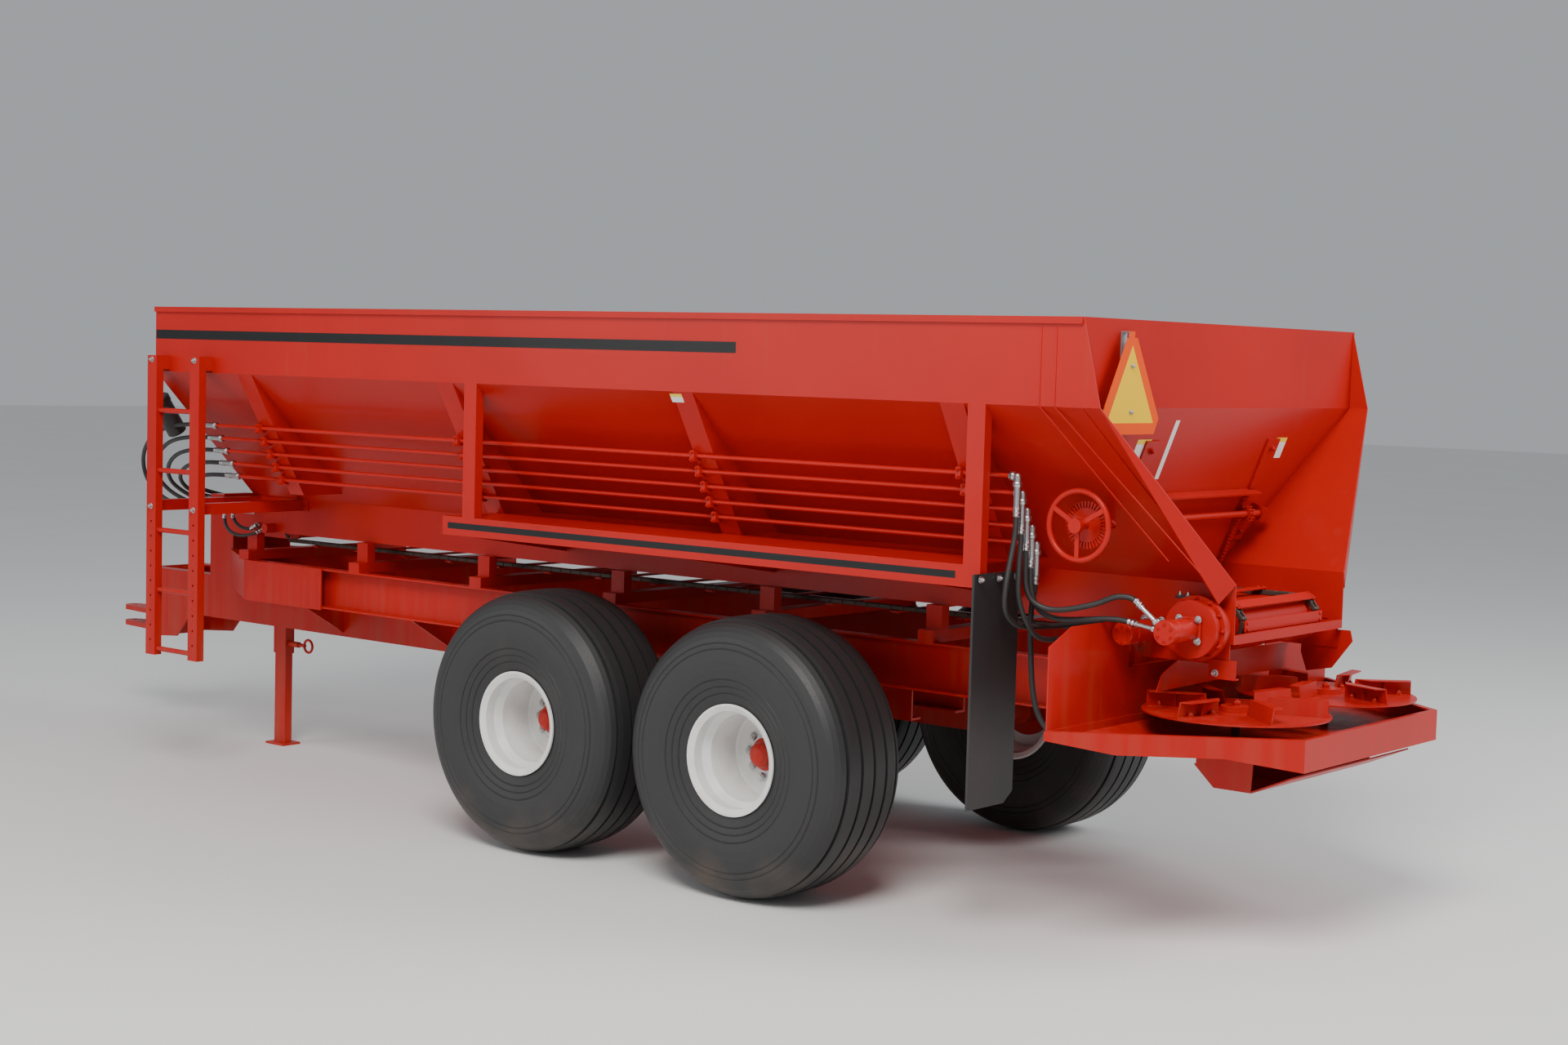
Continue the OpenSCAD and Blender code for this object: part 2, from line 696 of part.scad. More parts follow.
// Section of a rail: a channel whose flanges point outward
module channel_section(half_w, z0, h, flange_w, t) {
  translate([half_w - flange_w, z0]) square([t, h]);
  translate([half_w - flange_w, z0]) square([flange_w, t]);
  translate([half_w - flange_w, z0 + h - t]) square([flange_w, t]);
}
module main_rails() color("firebrick") at_frame() both_sides() {
  end_plate(rail_rear_x, rail_front_x) channel_section(rail_half_w, rail_z, rail_h, rail_flange_w, rail_t);
  block(rail_box_x, rail_front_x, rail_half_w, rail_half_w + rail_t, rail_z - 8, rail_z + rail_h);
  turned_end();
}
// The rail's front end, turned in to meet the tongue
module turned_end() {
  translate([0, 0, rail_z]) linear_extrude(rail_h) polygon([
    [rail_front_x, rail_half_w - rail_t],
    [rail_front_x, rail_half_w + rail_t],
    [rail_meet_x, tongue_half_w],
    [rail_meet_x - 30, tongue_half_w]
  ]);
  translate([0, 0, rail_z + rail_h - rail_t]) linear_extrude(rail_t) polygon([
    [rail_front_x, rail_half_w - rail_flange_w],
    [rail_front_x, rail_half_w],
    [rail_meet_x, tongue_half_w],
    [rail_meet_x - 110, tongue_half_w]
  ]);
}

// Beams across the rails, their uprights to the sills, and the braces out to the tongue
cradle_h = 50;
member_half = 40;
member_count = 7;
member_rear_x = rail_rear_x + 60;
member_gap = (hopper_front_x - 45 - member_rear_x) / (member_count - 1);
brace_count = 5;
brace_gap = 850;
brace_rear_x = tongue_rear_x + 370;
module cross_members() color("firebrick") at_frame() {
  for (i = [0:member_count - 1]) translate([member_rear_x + i * member_gap, 0, 0]) {
    block(-member_half, member_half, -rail_half_w, rail_half_w, rail_z + rail_h, rail_z + rail_h + cradle_h);
    both_sides() block(-member_half, member_half, sill_half_w - sheet_t, sill_half_w + post_d,
      rail_z + rail_h + cradle_h + seat_gap, sill_bottom_z);
  }
  both_sides() for (i = [0:brace_count - 1]) translate([brace_rear_x + i * brace_gap, 0, 0])
    end_plate(-5, 5) polygon([
      [tongue_half_w, tongue_z + 20],
      [tongue_half_w, tongue_z + tongue_h],
      [rail_half_w - rail_flange_w, tongue_z + tongue_h],
      [rail_half_w - rail_flange_w, rail_z]
    ]);
}

module tongue() color("firebrick") at_frame() {
  tongue_channels();
  hitch_plate();
}
module tongue_channels() difference() {
  both_sides() end_plate(tongue_rear_x, tongue_front_x) {
    translate([tongue_half_w - tongue_t, tongue_z]) square([tongue_t, tongue_h]);
    translate([tongue_half_w - tongue_flange_w, tongue_z]) square([tongue_flange_w, tongue_t]);
    translate([tongue_half_w - tongue_flange_w, tongue_z + tongue_h - tongue_t]) square([tongue_flange_w, tongue_t]);
  }
  sleeve_outer(tongue_z - 1, tongue_z + tongue_h + 1);
  bar_y(0, pivot_z, pivot_r, -tongue_half_w - 1, tongue_half_w + 1);
}

module hitch_plate() {
  difference() {
    block(tongue_front_x - 1, tongue_front_x + hitch_plate_t, -tongue_half_w, tongue_half_w,
      hitch_plate_z, tongue_z + tongue_h);
    for (s = [-0.5, 0.5], i = [0:4])
      bar_x(s * hitch_row_gap, hitch_plate_z + 50 + i * hitch_hole_gap, hitch_hole_d / 2,
        tongue_front_x - 2, tongue_front_x + hitch_plate_t + 1);
  }
  both_sides() side_plate(tongue_half_w - tongue_t, tongue_half_w) polygon([
    [tongue_front_x, tongue_z],
    [tongue_front_x, hitch_plate_z],
    [tongue_front_x - 260, hitch_plate_z + 20],
    [tongue_front_x - 390, tongue_z]
  ]);
}

module hitch_clevis() color("firebrick") at_frame() {
  face_x = tongue_front_x + hitch_plate_t;
  pin_x = tongue_front_x + clevis_reach;
  difference() {
    union() {
      block(face_x, face_x + clevis_t, -clevis_w / 2, clevis_w / 2, clevis_z - 80, clevis_z + 180);
      for (side = [-1, 1]) translate([0, 0, clevis_z + side * (jaw_gap + jaw_t) / 2 - jaw_t / 2]) {
        translate([pin_x, 0, 0]) cylinder(r = jaw_r, h = jaw_t);
        translate([face_x + clevis_t, 0, 0]) linear_extrude(jaw_t) polygon([
          [0, 10 - clevis_w / 2], [pin_x - face_x - clevis_t, -jaw_r],
          [pin_x - face_x - clevis_t, jaw_r], [0, clevis_w / 2 - 10]
        ]);
      }
    }
    bar_z(pin_x, 0, clevis_bore / 2, clevis_z - 200, clevis_z + 200);
  }
}

// The stand on the tongue that carries the front of the hopper
stand_front_x = hopper_front_x + stand_reach;
stand_beam_z = tongue_z + tongue_h + stand_rise;
module front_stand() color("firebrick") at_frame() {
  difference() {
    block(stand_front_x - stand_len, stand_front_x, -tongue_half_w, tongue_half_w, tongue_z + tongue_h, stand_beam_z);
    block(stand_front_x - stand_len - 1, stand_front_x - stand_t, stand_t - tongue_half_w, tongue_half_w - stand_t,
      tongue_z + tongue_h - 1, stand_beam_z - stand_t);
  }
  both_sides() difference() {
    block(hopper_front_x, stand_front_x, tongue_half_w - stand_beam_w, tongue_half_w,
      stand_beam_z, stand_beam_z + stand_beam_h);
    block(hopper_front_x - 1, stand_front_x + 1, tongue_half_w - stand_beam_w - 1, tongue_half_w - stand_t,
      stand_beam_z + stand_t, stand_beam_z + stand_beam_h - stand_t);
  }
  manifold();
}

// Block with the hydraulic ports, on a plate at the hopper's front corner
port_y = 620;
port_gap = 45;
port_z = sill_top_z - 25;
loop_ports = [[3500, 600], [3500, 545]];
manifold_front_x = hopper_front_x + 115;
module manifold() {
  block(hopper_front_x, hopper_front_x + 6, port_y - 320, port_y + 25, port_z - 45, port_z + 35);
  block(hopper_front_x + 6, manifold_front_x, port_y - 205, port_y + 25, port_z - 30, port_z + 30);
}

module sleeve_outer(z0, z1)
  block(jack_x - sleeve_l / 2, jack_x + sleeve_l / 2, jack_y - sleeve_w / 2, jack_y + sleeve_w / 2, z0, z1);
module leg_section(x_cut, z0, z1)
  block(jack_x - sleeve_l / 2 + x_cut, jack_x + sleeve_l / 2 - x_cut,
    jack_y - sleeve_w / 2 + x_cut, jack_y + sleeve_w / 2 - x_cut, z0, z1);
lock_z = sleeve_z + 55;
lock_boss_len = 80;
lock_x = jack_x - sleeve_l / 2;
module jack_sleeve() color("firebrick") at_frame() {
  difference() {
    sleeve_outer(sleeve_z, sleeve_top);
    leg_section(sleeve_t, sleeve_z - 1, sleeve_top + 1);
    bar_x(jack_y, lock_z, lock_pin_d / 2 + lock_gap, lock_x - 1, lock_x + sleeve_t + 1);
  }
  difference() {
    bar_x(jack_y, lock_z, lock_pin_d / 2 + sleeve_t, lock_x - lock_boss_len, lock_x);
    bar_x(jack_y, lock_z, lock_pin_d / 2 + lock_gap, lock_x - lock_boss_len - 1, lock_x + 1);
  }
}
module jack_leg() color("firebrick") at_frame() {
  difference() {
    leg_section(sleeve_t + leg_gap, foot_t, leg_len);
    leg_section(sleeve_t + leg_gap + leg_t, foot_t - 1, leg_len + 1);
  }
  block(jack_x - foot_l / 2, jack_x + foot_l / 2, jack_y - foot_w / 2, jack_y + foot_w / 2, 0, foot_t);
}
// Locking pin with a pull ring, drawn back so that the leg can slide
module jack_pin() color("firebrick") at_frame() {
  bar_x(jack_y, lock_z, lock_pin_d / 2, lock_x - lock_boss_len - 50, lock_x + sleeve_t - lock_gap);
  translate([lock_x - lock_boss_len - 78, jack_y, lock_z]) rotate([90, 0, 0])
    rotate_extrude() translate([34, 0]) circle(r = 7, $fn = 24);
}

// Walking beam: a box beam that carries one wheel at each end, swung on the cross tube
module walking_beam(side) left_or_right(side) {
  y0 = beam_y - beam_w / 2;
  difference() {
    union() {
      side_plate(y0, y0 + beam_w) polygon([
        [-front_axle_x - 90, tyre_r - beam_h / 2],
        [front_axle_x + 90, tyre_r - beam_h / 2],
        [front_axle_x + 90, tyre_r + beam_h / 2],
        [160, pivot_z + 110],
        [-160, pivot_z + 110],
        [-front_axle_x - 90, tyre_r + beam_h / 2]
      ]);
      for (x = [front_axle_x, rear_axle_x]) {
        bar_y(x, tyre_r, spindle_r + 14, y0 + beam_w, tyre_y - 150);
        bar_y(x, tyre_r, spindle_r, tyre_y - 150, tyre_y - 10);
      }
    }
    bar_y(0, pivot_z, pivot_r + spindle_gap, y0 - 1, y0 + beam_w + 1);
  }
}
module walking_beam_left() color("firebrick") at_frame() walking_beam(1);
module walking_beam_right() color("firebrick") at_frame() walking_beam(-1);

// Cross tube that the walking beams swing on, with collars outside them and hangers down from the rails
module pivot_tube() color("firebrick") at_frame() {
  beam_out_y = beam_y + beam_w / 2;
  difference() {
    union() {
      bar_y(0, pivot_z, pivot_r, -beam_out_y - 16, beam_out_y + 16);
      both_sides() bar_y(0, pivot_z, pivot_r + 18, beam_out_y + 3, beam_out_y + 15);
    }
    bar_y(0, pivot_z, pivot_r - pivot_t, -beam_out_y - 17, beam_out_y + 17);
  }
  both_sides() difference() {
    side_plate(rail_half_w - rail_flange_w, rail_half_w - rail_flange_w + 14) polygon([
      [-170, rail_z], [170, rail_z], [pivot_r + 20, pivot_z - pivot_r], [-pivot_r - 20, pivot_z - pivot_r]
    ]);
    bar_y(0, pivot_z, pivot_r - 1, 0, rail_half_w);
  }
}

// Section of a tyre, radius against width, with the grooves between its ribs
groove_w = 16;
groove_d = 22;
groove_gap = 78;
crown_power = 3.5;
bead_r = rim_r - 22;
bead_half = rim_w / 2 - 16;
// A point of the tyre's outline above its widest radius, squarish like the real shoulder
function crown_point(a) = [
  tyre_belly_r + (tyre_r - tyre_belly_r) * pow(sin(a), 2 / crown_power),
  tyre_w / 2 * sign(cos(a)) * pow(abs(cos(a)), 2 / crown_power)];
// A point of the side wall between bead and widest radius, with t from 0 to 1
function wall_point(t, side) = [
  bead_r + 10 + (tyre_belly_r - bead_r - 10) * t,
  side * (bead_half + (tyre_w / 2 - bead_half) * sin(90 * t))];
module tyre_section() difference() {
  polygon(concat(
    [[bead_r, -bead_half], [bead_r, bead_half]],
    [for (t = [0:0.2:0.8]) wall_point(t, 1)],
    [for (a = [0:10:180]) crown_point(a)],
    [for (t = [0.8:-0.2:0]) wall_point(t, -1)]
  ));
  for (i = [-2:2])
    translate([tyre_r - groove_d, i * groove_gap - groove_w / 2]) square([groove_d + 1, groove_w]);
}
module tyre(x, side) left_or_right(side) translate([x, tyre_y, tyre_r]) rotate([-90, 0, 0]) rotate_extrude($fn = 96)
  tyre_section();
module tyre_front_left() color("dimgray") at_frame() tyre(front_axle_x, 1);
module tyre_front_right() color("dimgray") at_frame() tyre(front_axle_x, -1);
module tyre_rear_left() color("dimgray") at_frame() tyre(rear_axle_x, 1);
module tyre_rear_right() color("dimgray") at_frame() tyre(rear_axle_x, -1);

// Rim: a deep drum with rolled lips and a flat centre plate
rim_t = 7;
plate_y = -50;
module rim(x, side) left_or_right(side) translate([x, tyre_y, tyre_r]) rotate([-90, 0, 0]) difference() {
  rotate_extrude($fn = 96) {
    polygon([
      [rim_r, -rim_w / 2], [rim_r, -rim_w / 2 + 8], [bead_r, -rim_w / 2 + 14],
      [bead_r, -rim_w / 2 + 60], [bead_r - 20, -rim_w / 2 + 90],
      [bead_r - 20, rim_w / 2 - 90], [bead_r, rim_w / 2 - 60], [bead_r, rim_w / 2 - 14],
      [rim_r, rim_w / 2 - 8], [rim_r, rim_w / 2],
      [rim_r - 8, rim_w / 2], [bead_r - rim_t, rim_w / 2 - 12], [bead_r - rim_t, rim_w / 2 - 60],
      [bead_r - rim_t - 20, rim_w / 2 - 92],
      [bead_r - rim_t - 20, plate_y + rim_t + 8], [bead_r - rim_t - 32, plate_y + rim_t],
      [hub_r + 1, plate_y + rim_t], [hub_r + 1, plate_y - rim_t], [bead_r - rim_t - 20, plate_y - rim_t],
      [bead_r - rim_t - 20, -rim_w / 2 + 92], [bead_r - rim_t, -rim_w / 2 + 60],
      [bead_r - rim_t, -rim_w / 2 + 12], [rim_r - 8, -rim_w / 2]
    ]);
  }
  for (i = [0:9]) rotate([0, 0, i * 36]) translate([nut_circle_r, 0, plate_y - 20])
    cylinder(r = 10, h = 60);
}
module rim_front_left() color("whitesmoke") at_frame() rim(front_axle_x, 1);
module rim_front_right() color("whitesmoke") at_frame() rim(front_axle_x, -1);
module rim_rear_left() color("whitesmoke") at_frame() rim(rear_axle_x, 1);
module rim_rear_right() color("whitesmoke") at_frame() rim(rear_axle_x, -1);

// Hub: a flange behind the centre plate, a barrel through it and a domed cap
module hub(x, side) left_or_right(side) translate([x, tyre_y, tyre_r]) rotate([-90, 0, 0]) rotate_extrude() polygon([
  [spindle_r + spindle_gap, plate_y - 95], [hub_r, plate_y - 95], [hub_r, plate_y - rim_t - 18],
  [nut_circle_r + 25, plate_y - rim_t - 18], [nut_circle_r + 25, plate_y - rim_t],
  [hub_r, plate_y - rim_t], [hub_r, plate_y + 40], [hub_r - 14, plate_y + 55],
  [hub_r - 20, plate_y + 78], [hub_r - 38, plate_y + 92], [0, plate_y + 96],
  [0, plate_y + 60], [spindle_r + spindle_gap, plate_y + 60]
]);
module hub_front_left() color("firebrick") at_frame() hub(front_axle_x, 1);
module hub_front_right() color("firebrick") at_frame() hub(front_axle_x, -1);
module hub_rear_left() color("firebrick") at_frame() hub(rear_axle_x, 1);
module hub_rear_right() color("firebrick") at_frame() hub(rear_axle_x, -1);

// Conveyor chain: two strands round the sprockets, with crossbars
module track_outline(r) {
  translate([drive_x, drive_z]) circle(r = r);
  translate([idler_x, drive_z]) circle(r = r);
  translate([drive_x, drive_z - r]) square([conveyor_len, 2 * r]);
}
module conveyor_chain() color("dimgray") at_frame() {
  both_sides() side_plate(strand_y - link_w / 2, strand_y + link_w / 2) difference() {
    track_outline(sprocket_r + link_h / 2);
    track_outline(sprocket_r - link_h / 2);
  }
  bar_r = sprocket_r + link_h / 2 + bar_gap + bar_h / 2;
  for (i = [1:bars_per_run], s = [-1, 1])
    translate([drive_x + conveyor_len * (i - 0.5) / bars_per_run, 0, drive_z + s * bar_r])
      cube([bar_w, 2 * strand_y + link_w, bar_h], center = true);
  for (a = [-60, 0, 60]) translate([drive_x, 0, drive_z]) rotate([0, a, 0])
    translate([-bar_r, 0, 0]) cube([bar_h, 2 * strand_y + link_w, bar_w], center = true);
}
bearing_r = 62;
module conveyor_shafts() color("firebrick") at_frame() {
  for (x = [drive_x, idler_x]) {
    bar_y(x, drive_z, shaft_r, -sill_half_w - 60, sill_half_w + 60);
    bar_y(x, drive_z, bearing_r, -sill_half_w - 40, -sill_half_w);
    bar_y(x, drive_z, drum_r, 30 - strand_y, strand_y - 30);
    both_sides() bar_y(x, drive_z, sprocket_r - link_h / 2 - 0.5, strand_y - 12, strand_y + 12);
  }
}
module conveyor_drive() color("firebrick") at_frame() {
  gearcase();
  conveyor_motors();
}
module gearcase() difference() {
  union() {
    bar_y(drive_x, drive_z, gearcase_r, sill_half_w, sill_half_w + gearcase_w);
    bar_y(drive_x, drive_z, flange_r, sill_half_w + gearcase_w / 2 - 5, sill_half_w + gearcase_w / 2 + 20);
  }
  bar_y(drive_x, drive_z, shaft_r + 0.3, sill_half_w - 1, sill_half_w + 62);
}
// The main motor on the gearcase, and a second motor on a plate against the sill
second_x = drive_x + 215;
second_z = drive_z - 27;
second_r = 42;
port_block = 20;
module conveyor_motors() {
  bar_y(drive_x, drive_z, drive_motor_r, sill_half_w + gearcase_w - 1, sill_half_w + gearcase_w + drive_motor_len);
  bar_y(second_x, second_z, second_r, sill_half_w, sill_half_w + second_motor_len);
  block(second_x - 50, second_x + 50, sill_half_w, sill_half_w + 12, second_z - 48, second_z + 52);
  block(second_x, second_x + second_r, sill_half_w + 3 * port_block - port_block, sill_half_w + 4 * port_block,
    second_z - 35, second_z + 35);
}

// Gate: a plate with a folded top lip and a rack up each edge
module gate() color("firebrick") at_frame() on_rear_wall(gate_foot_z) translate([0, 0, gate_gap]) {
  translate([-gate_half_w, 0, 0]) cube([2 * gate_half_w, gate_h, gate_t]);
  translate([-gate_half_w, gate_h, 0]) cube([2 * gate_half_w, 8, 50]);
  translate([-gate_half_w - 50, gate_h, guide_t + 6]) cube([2 * gate_half_w + 100, 8, 50 - guide_t - 6]);
  for (s = [-1, 1]) translate([s * (gate_half_w - rack_w / 2 - 4) - rack_w / 2, 0, gate_t]) rack();
}
module rack() rotate([0, 90, 0]) mirror([1, 0, 0]) linear_extrude(rack_w)
  polygon(concat(
    [[0, 0]],
    [for (i = [0:floor(gate_h / tooth_pitch) - 1], k = [0:3])
      [rack_base + (k == 1 || k == 2 ? tooth_h : 0),
        i * tooth_pitch + tooth_pitch / 2 + [-0.31, -0.11, 0.11, 0.31][k] * tooth_pitch]],
    [[0, gate_h]]
  ));
guide_w = 100;
guide_t = 8;
guide_len = 460;
// The guides start where the sloped sides leave room for them
guide_foot_z = sill_top_z + (gate_half_w + 10 + guide_w + 2 * sheet_t - sill_half_w) / slope_run;
module gate_guides() color("firebrick") at_frame() {
  for (s = [-1, 1]) on_rear_wall(guide_foot_z) translate([s * (gate_half_w + 10 + guide_w / 2), 0, 0])
    translate([-guide_w / 2, 0, guide_gap]) cube([guide_w, guide_len, guide_t - guide_gap]);
  for (s = [-1, 1]) on_rear_wall(cross_z + cross_off * sin(end_lean))
    translate([s * (gate_half_w + guide_w - 10) - 6, 0, guide_t]) difference() {
      translate([0, -30, -1]) cube([12, 60, cross_off + 21]);
      translate([-1, 0, cross_off - guide_t]) rotate([0, 90, 0]) cylinder(r = cross_r + bearing_gap, h = 14);
    }
}
module pinion() rotate([-90, 0, 0]) rotate(-end_lean - tooth_shift / pinion_r * 180 / PI) linear_extrude(rack_w) difference() {
  circle(r = pinion_r + tooth_h / 2);
  for (i = [0:pinion_teeth - 1]) rotate(i * 360 / pinion_teeth) polygon([
    [pinion_r - tooth_h / 2 - 1, -tooth_pitch * 0.25], [pinion_r + tooth_h, -tooth_pitch * 0.49],
    [pinion_r + tooth_h, tooth_pitch * 0.49], [pinion_r - tooth_h / 2 - 1, tooth_pitch * 0.25]
  ]);
}
module cross_shaft() color("firebrick") at_frame() {
  bar_y(cross_x, cross_z, cross_r, -(gate_half_w + 120), handwheel_y);
  for (y = [4 + rack_w - gate_half_w, gate_half_w - 4])
    translate([cross_x, y - rack_w, cross_z]) pinion();
  translate([cross_x, handwheel_y - 60, cross_z]) rotate([-90, 0, 0]) linear_extrude(8) difference() {
    circle(r = lock_disc_r);
    for (i = [0:slot_count - 1]) rotate(i * 360 / slot_count)
      translate([lock_disc_r - slot_len, -slot_w / 2]) square([slot_len + 1, slot_w]);
  }
}
module handwheel() color("firebrick") at_frame() translate([cross_x, handwheel_y, cross_z]) rotate([-90, 0, 0]) {
  rotate_extrude() translate([handwheel_r - handwheel_rod_r, 0]) circle(r = handwheel_rod_r, $fn = 24);
  cylinder(r = 28, h = 30);
  for (i = [0:2]) rotate(i * 120 + 90) translate([20, -9, 2]) cube([handwheel_r - handwheel_rod_r - 22, 18, 8]);
}

// Side view of the tray's underside, flat where the discs' motors hang
function tray_foot(t) = [
  [tray_front_x, tray_z - tray_front_h + t], [disc_x + flat_half, flat_z + t],
  [disc_x - flat_half, flat_z + t], [tray_rear_x, tray_z - tray_rear_h + t]];
flat_half = 160;
flat_z = tray_z - 78;
guard_z = flat_z - guard_drop;
// Plan of the tray, narrowing to the rear, drawn in by the distance inset at its slanting sides
module tray_plan(inset) polygon([
  [tray_front_x, tray_half_w - inset], [tray_rear_x, tray_rear_half_w - inset],
  [tray_rear_x, inset - tray_rear_half_w], [tray_front_x, inset - tray_half_w]
]);
module spinner_tray() color("firebrick") at_frame() {
  tray_pan();
  tray_rim();
  motor_guard();
}
module tray_pan() difference() {
  intersection() {
    translate([0, 0, tray_z - tray_rear_h]) linear_extrude(tray_rear_h) tray_plan(0);
    side_plate(-tray_half_w, tray_half_w) polygon(concat(tray_foot(0), [[tray_rear_x, tray_z], [tray_front_x, tray_z]]));
  }
  intersection() {
    translate([0, 0, tray_z - tray_rear_h]) linear_extrude(tray_rear_h + 1) tray_plan(tray_t * 1.25);
    side_plate(-tray_half_w, tray_half_w) polygon(concat(
      [for (p = tray_foot(tray_t)) [max(min(p[0], tray_front_x - tray_t), tray_rear_x + tray_t), p[1]]],
      [[tray_rear_x + tray_t, tray_z + 1], [tray_front_x - tray_t, tray_z + 1]]
    ));
  }
  for (s = [-1, 1]) bar_z(disc_x, s * disc_y, motor_shaft_r + 12, tray_z - tray_rear_h, tray_z);
}
// Flange turned inward round the top of the tray's sides and rear
module tray_rim() translate([0, 0, tray_z - tray_t]) linear_extrude(tray_t) difference() {
  tray_plan(0);
  polygon([
    [tray_front_x - tray_t, tray_half_w - tray_rim_w * 1.3], [tray_rear_x + tray_rim_w, tray_rear_half_w - tray_rim_w],
    [tray_rear_x + tray_rim_w, tray_rim_w - tray_rear_half_w], [tray_front_x - tray_t, tray_rim_w * 1.3 - tray_half_w]
  ]);
}
// The shield is three sheets: one between the rails and one behind each wheel
shield_split_y = sill_half_w + 100;
module spinner_shield() color("firebrick") at_frame() {
  block(tray_front_x, tray_front_x + tray_t, -shield_split_y, shield_split_y,
    tray_z - tray_front_h, rail_z + rail_h);
  both_sides() end_plate(tray_front_x, tray_front_x + tray_t) polygon([
    [shield_split_y + seat_gap, tray_z - tray_front_h], [tray_half_w - 20, tray_z - tray_front_h],
    [tray_half_w - 20, shield_z - 65], [tray_half_w - 170, shield_z], [shield_split_y + seat_gap, shield_z]
  ]);
  chute();
}
// Sheets that guide the stream from the conveyor down onto the two discs
divider_x = tray_front_x - 156;
divider_foot_z = disc_z + blade_h + 10;
divider_top_z = sill_bottom_z - 116;
module chute() {
  both_sides() difference() {
    side_plate(sill_half_w - sheet_t, sill_half_w) polygon([
      [tray_front_x - seat_gap, sill_bottom_z], [hopper_rear_x - wing_sill + cap_w + seat_gap, sill_bottom_z],
      [hopper_rear_x - wing_sill + cap_w + seat_gap, divider_top_z + seat_gap],
      [tray_front_x - seat_gap, divider_top_z + seat_gap]
    ]);
    bar_y(drive_x, drive_z, bearing_r + shaft_room, 0, hopper_half_w);
  }
  both_sides() end_plate(divider_x, divider_x + tray_t) polygon([
    [0, divider_top_z + 6], [0, divider_foot_z + 7], [600, divider_foot_z], [563, divider_top_z - 47],
    [sill_half_w, divider_top_z]
  ]);
  tip_deflector();
}
// Adjustable tip below the right sheet, which lets less of the stream pass to the side
module tip_deflector() side_plate(-sill_half_w - sheet_t - seat_gap, -sill_half_w - seat_gap) polygon([
  [divider_x - 60, sill_bottom_z - 46], [drive_x - 157, sill_bottom_z - 42], [drive_x - 168, sill_bottom_z - 86],
  [drive_x - 81, divider_foot_z + 22], [drive_x + 30, divider_foot_z], [drive_x + 58, sill_bottom_z - 147]
]);

module disc(side) left_or_right(side) translate([disc_x, disc_y, disc_z - disc_t]) {
  difference() {
    union() {
      cylinder(r = disc_r, h = disc_t, $fn = 96);
      translate([0, 0, disc_t - 1]) cylinder(r = 60, h = 23);
    }
    translate([0, 0, -1]) cylinder(r = motor_shaft_r + spindle_gap, h = disc_t + 16);
  }
  for (i = [0:blade_count - 1]) rotate(i * 360 / blade_count + blade_turn) translate([0, 0, disc_t]) blade();
}
blade_turn = 20;
// Section of a blade seen along it: a leaning web with a foot and a wide top flange
module blade_section() polygon([
  [0, -1], [blade_foot_w, -1], [blade_foot_w, blade_t], [blade_t, blade_t],
  [blade_t + blade_lean, blade_h - blade_t], [blade_top_w + blade_lean, blade_h - blade_t],
  [blade_top_w + blade_lean, blade_h], [blade_lean, blade_h]
]);
// A blade with its ends cut on the slant and a gusset that stiffens the top flange
module blade() {
  intersection() {
    end_plate(blade_in_r, disc_r) blade_section();
    translate([0, 0, -1]) linear_extrude(blade_h + 1) polygon([
      [blade_in_r, -1], [disc_r - 12, -1], [disc_r - 34, blade_top_w + blade_lean + 1],
      [blade_in_r + 60, blade_top_w + blade_lean + 1]
    ]);
  }
  end_plate(disc_r - 130, disc_r - 130 + blade_t) polygon([
    [blade_t / 2, 0], [blade_lean + blade_t / 2, blade_h - 1], [blade_top_w * 0.8, blade_h - 1],
    [blade_foot_w * 0.6, 0]
  ]);
}
module spinner_disc_left() color("firebrick") at_frame() disc(1);
module spinner_disc_right() color("firebrick") at_frame() disc(-1);
module spinner_motors() color("dimgray") at_frame() both_sides() {
  bar_z(disc_x, disc_y, motor_r, flat_z - motor_h, flat_z);
  bar_z(disc_x, disc_y, motor_shaft_r, flat_z - 1, disc_z + 12);
}
// Trough below the motors, hung from the tray on upright plates
module motor_guard() {
  side_plate(-guard_half_w, guard_half_w) polygon([
    [disc_x + 100, guard_z + 79], [disc_x + 14, guard_z], [disc_x - 144, guard_z], [disc_x - 307, guard_z + 74],
    [disc_x - 305, guard_z + 74 + tray_t], [disc_x - 142, guard_z + tray_t], [disc_x + 12, guard_z + tray_t],
    [disc_x + 96, guard_z + 83]
  ]);
  for (y = [-guard_half_w, -180, 180 - tray_t, guard_half_w - tray_t]) side_plate(y, y + tray_t) polygon([
    [disc_x + 92, guard_z + 75], [disc_x + 12, guard_z + 3], [disc_x - 142, guard_z + 3],
    [disc_x - 150, flat_z + 1], [disc_x + 92, flat_z + 1]
  ]);
}

// Angle braces from a strap on the sill out to the ladder's rails, just under the slope
brace_top_z = sill_top_z - 5;
brace_lap = 15;
module ladder() color("firebrick") at_frame() {
  for (x = [ladder_front_x, ladder_front_x - ladder_w + ladder_rail_w]) {
    difference() {
      ladder_rail(x);
      for (i = [1:adjust_count]) bar_y(x - ladder_rail_w / 2, ladder_z + i * adjust_gap, adjust_d / 2,
        ladder_y - 6, ladder_y + 1, $fn = 16);
    }
    block(x - ladder_rail_w, x, hopper_half_w, ladder_y - ladder_rail_d, bend_z + 10, bend_z + ladder_over);
    brace(x - brace_lap);
  }
  for (i = [0:rung_count - 1])
    bar_x(ladder_y - ladder_rail_d / 2, rung_z + i * rung_gap, rung_r, ladder_front_x - ladder_w + 5, ladder_front_x - 5);
  block(ladder_front_x - ladder_w + 20, ladder_front_x + 45, sill_half_w, sill_half_w + brace_t,
    brace_top_z - brace_leg, brace_top_z);
}
adjust_count = 9;
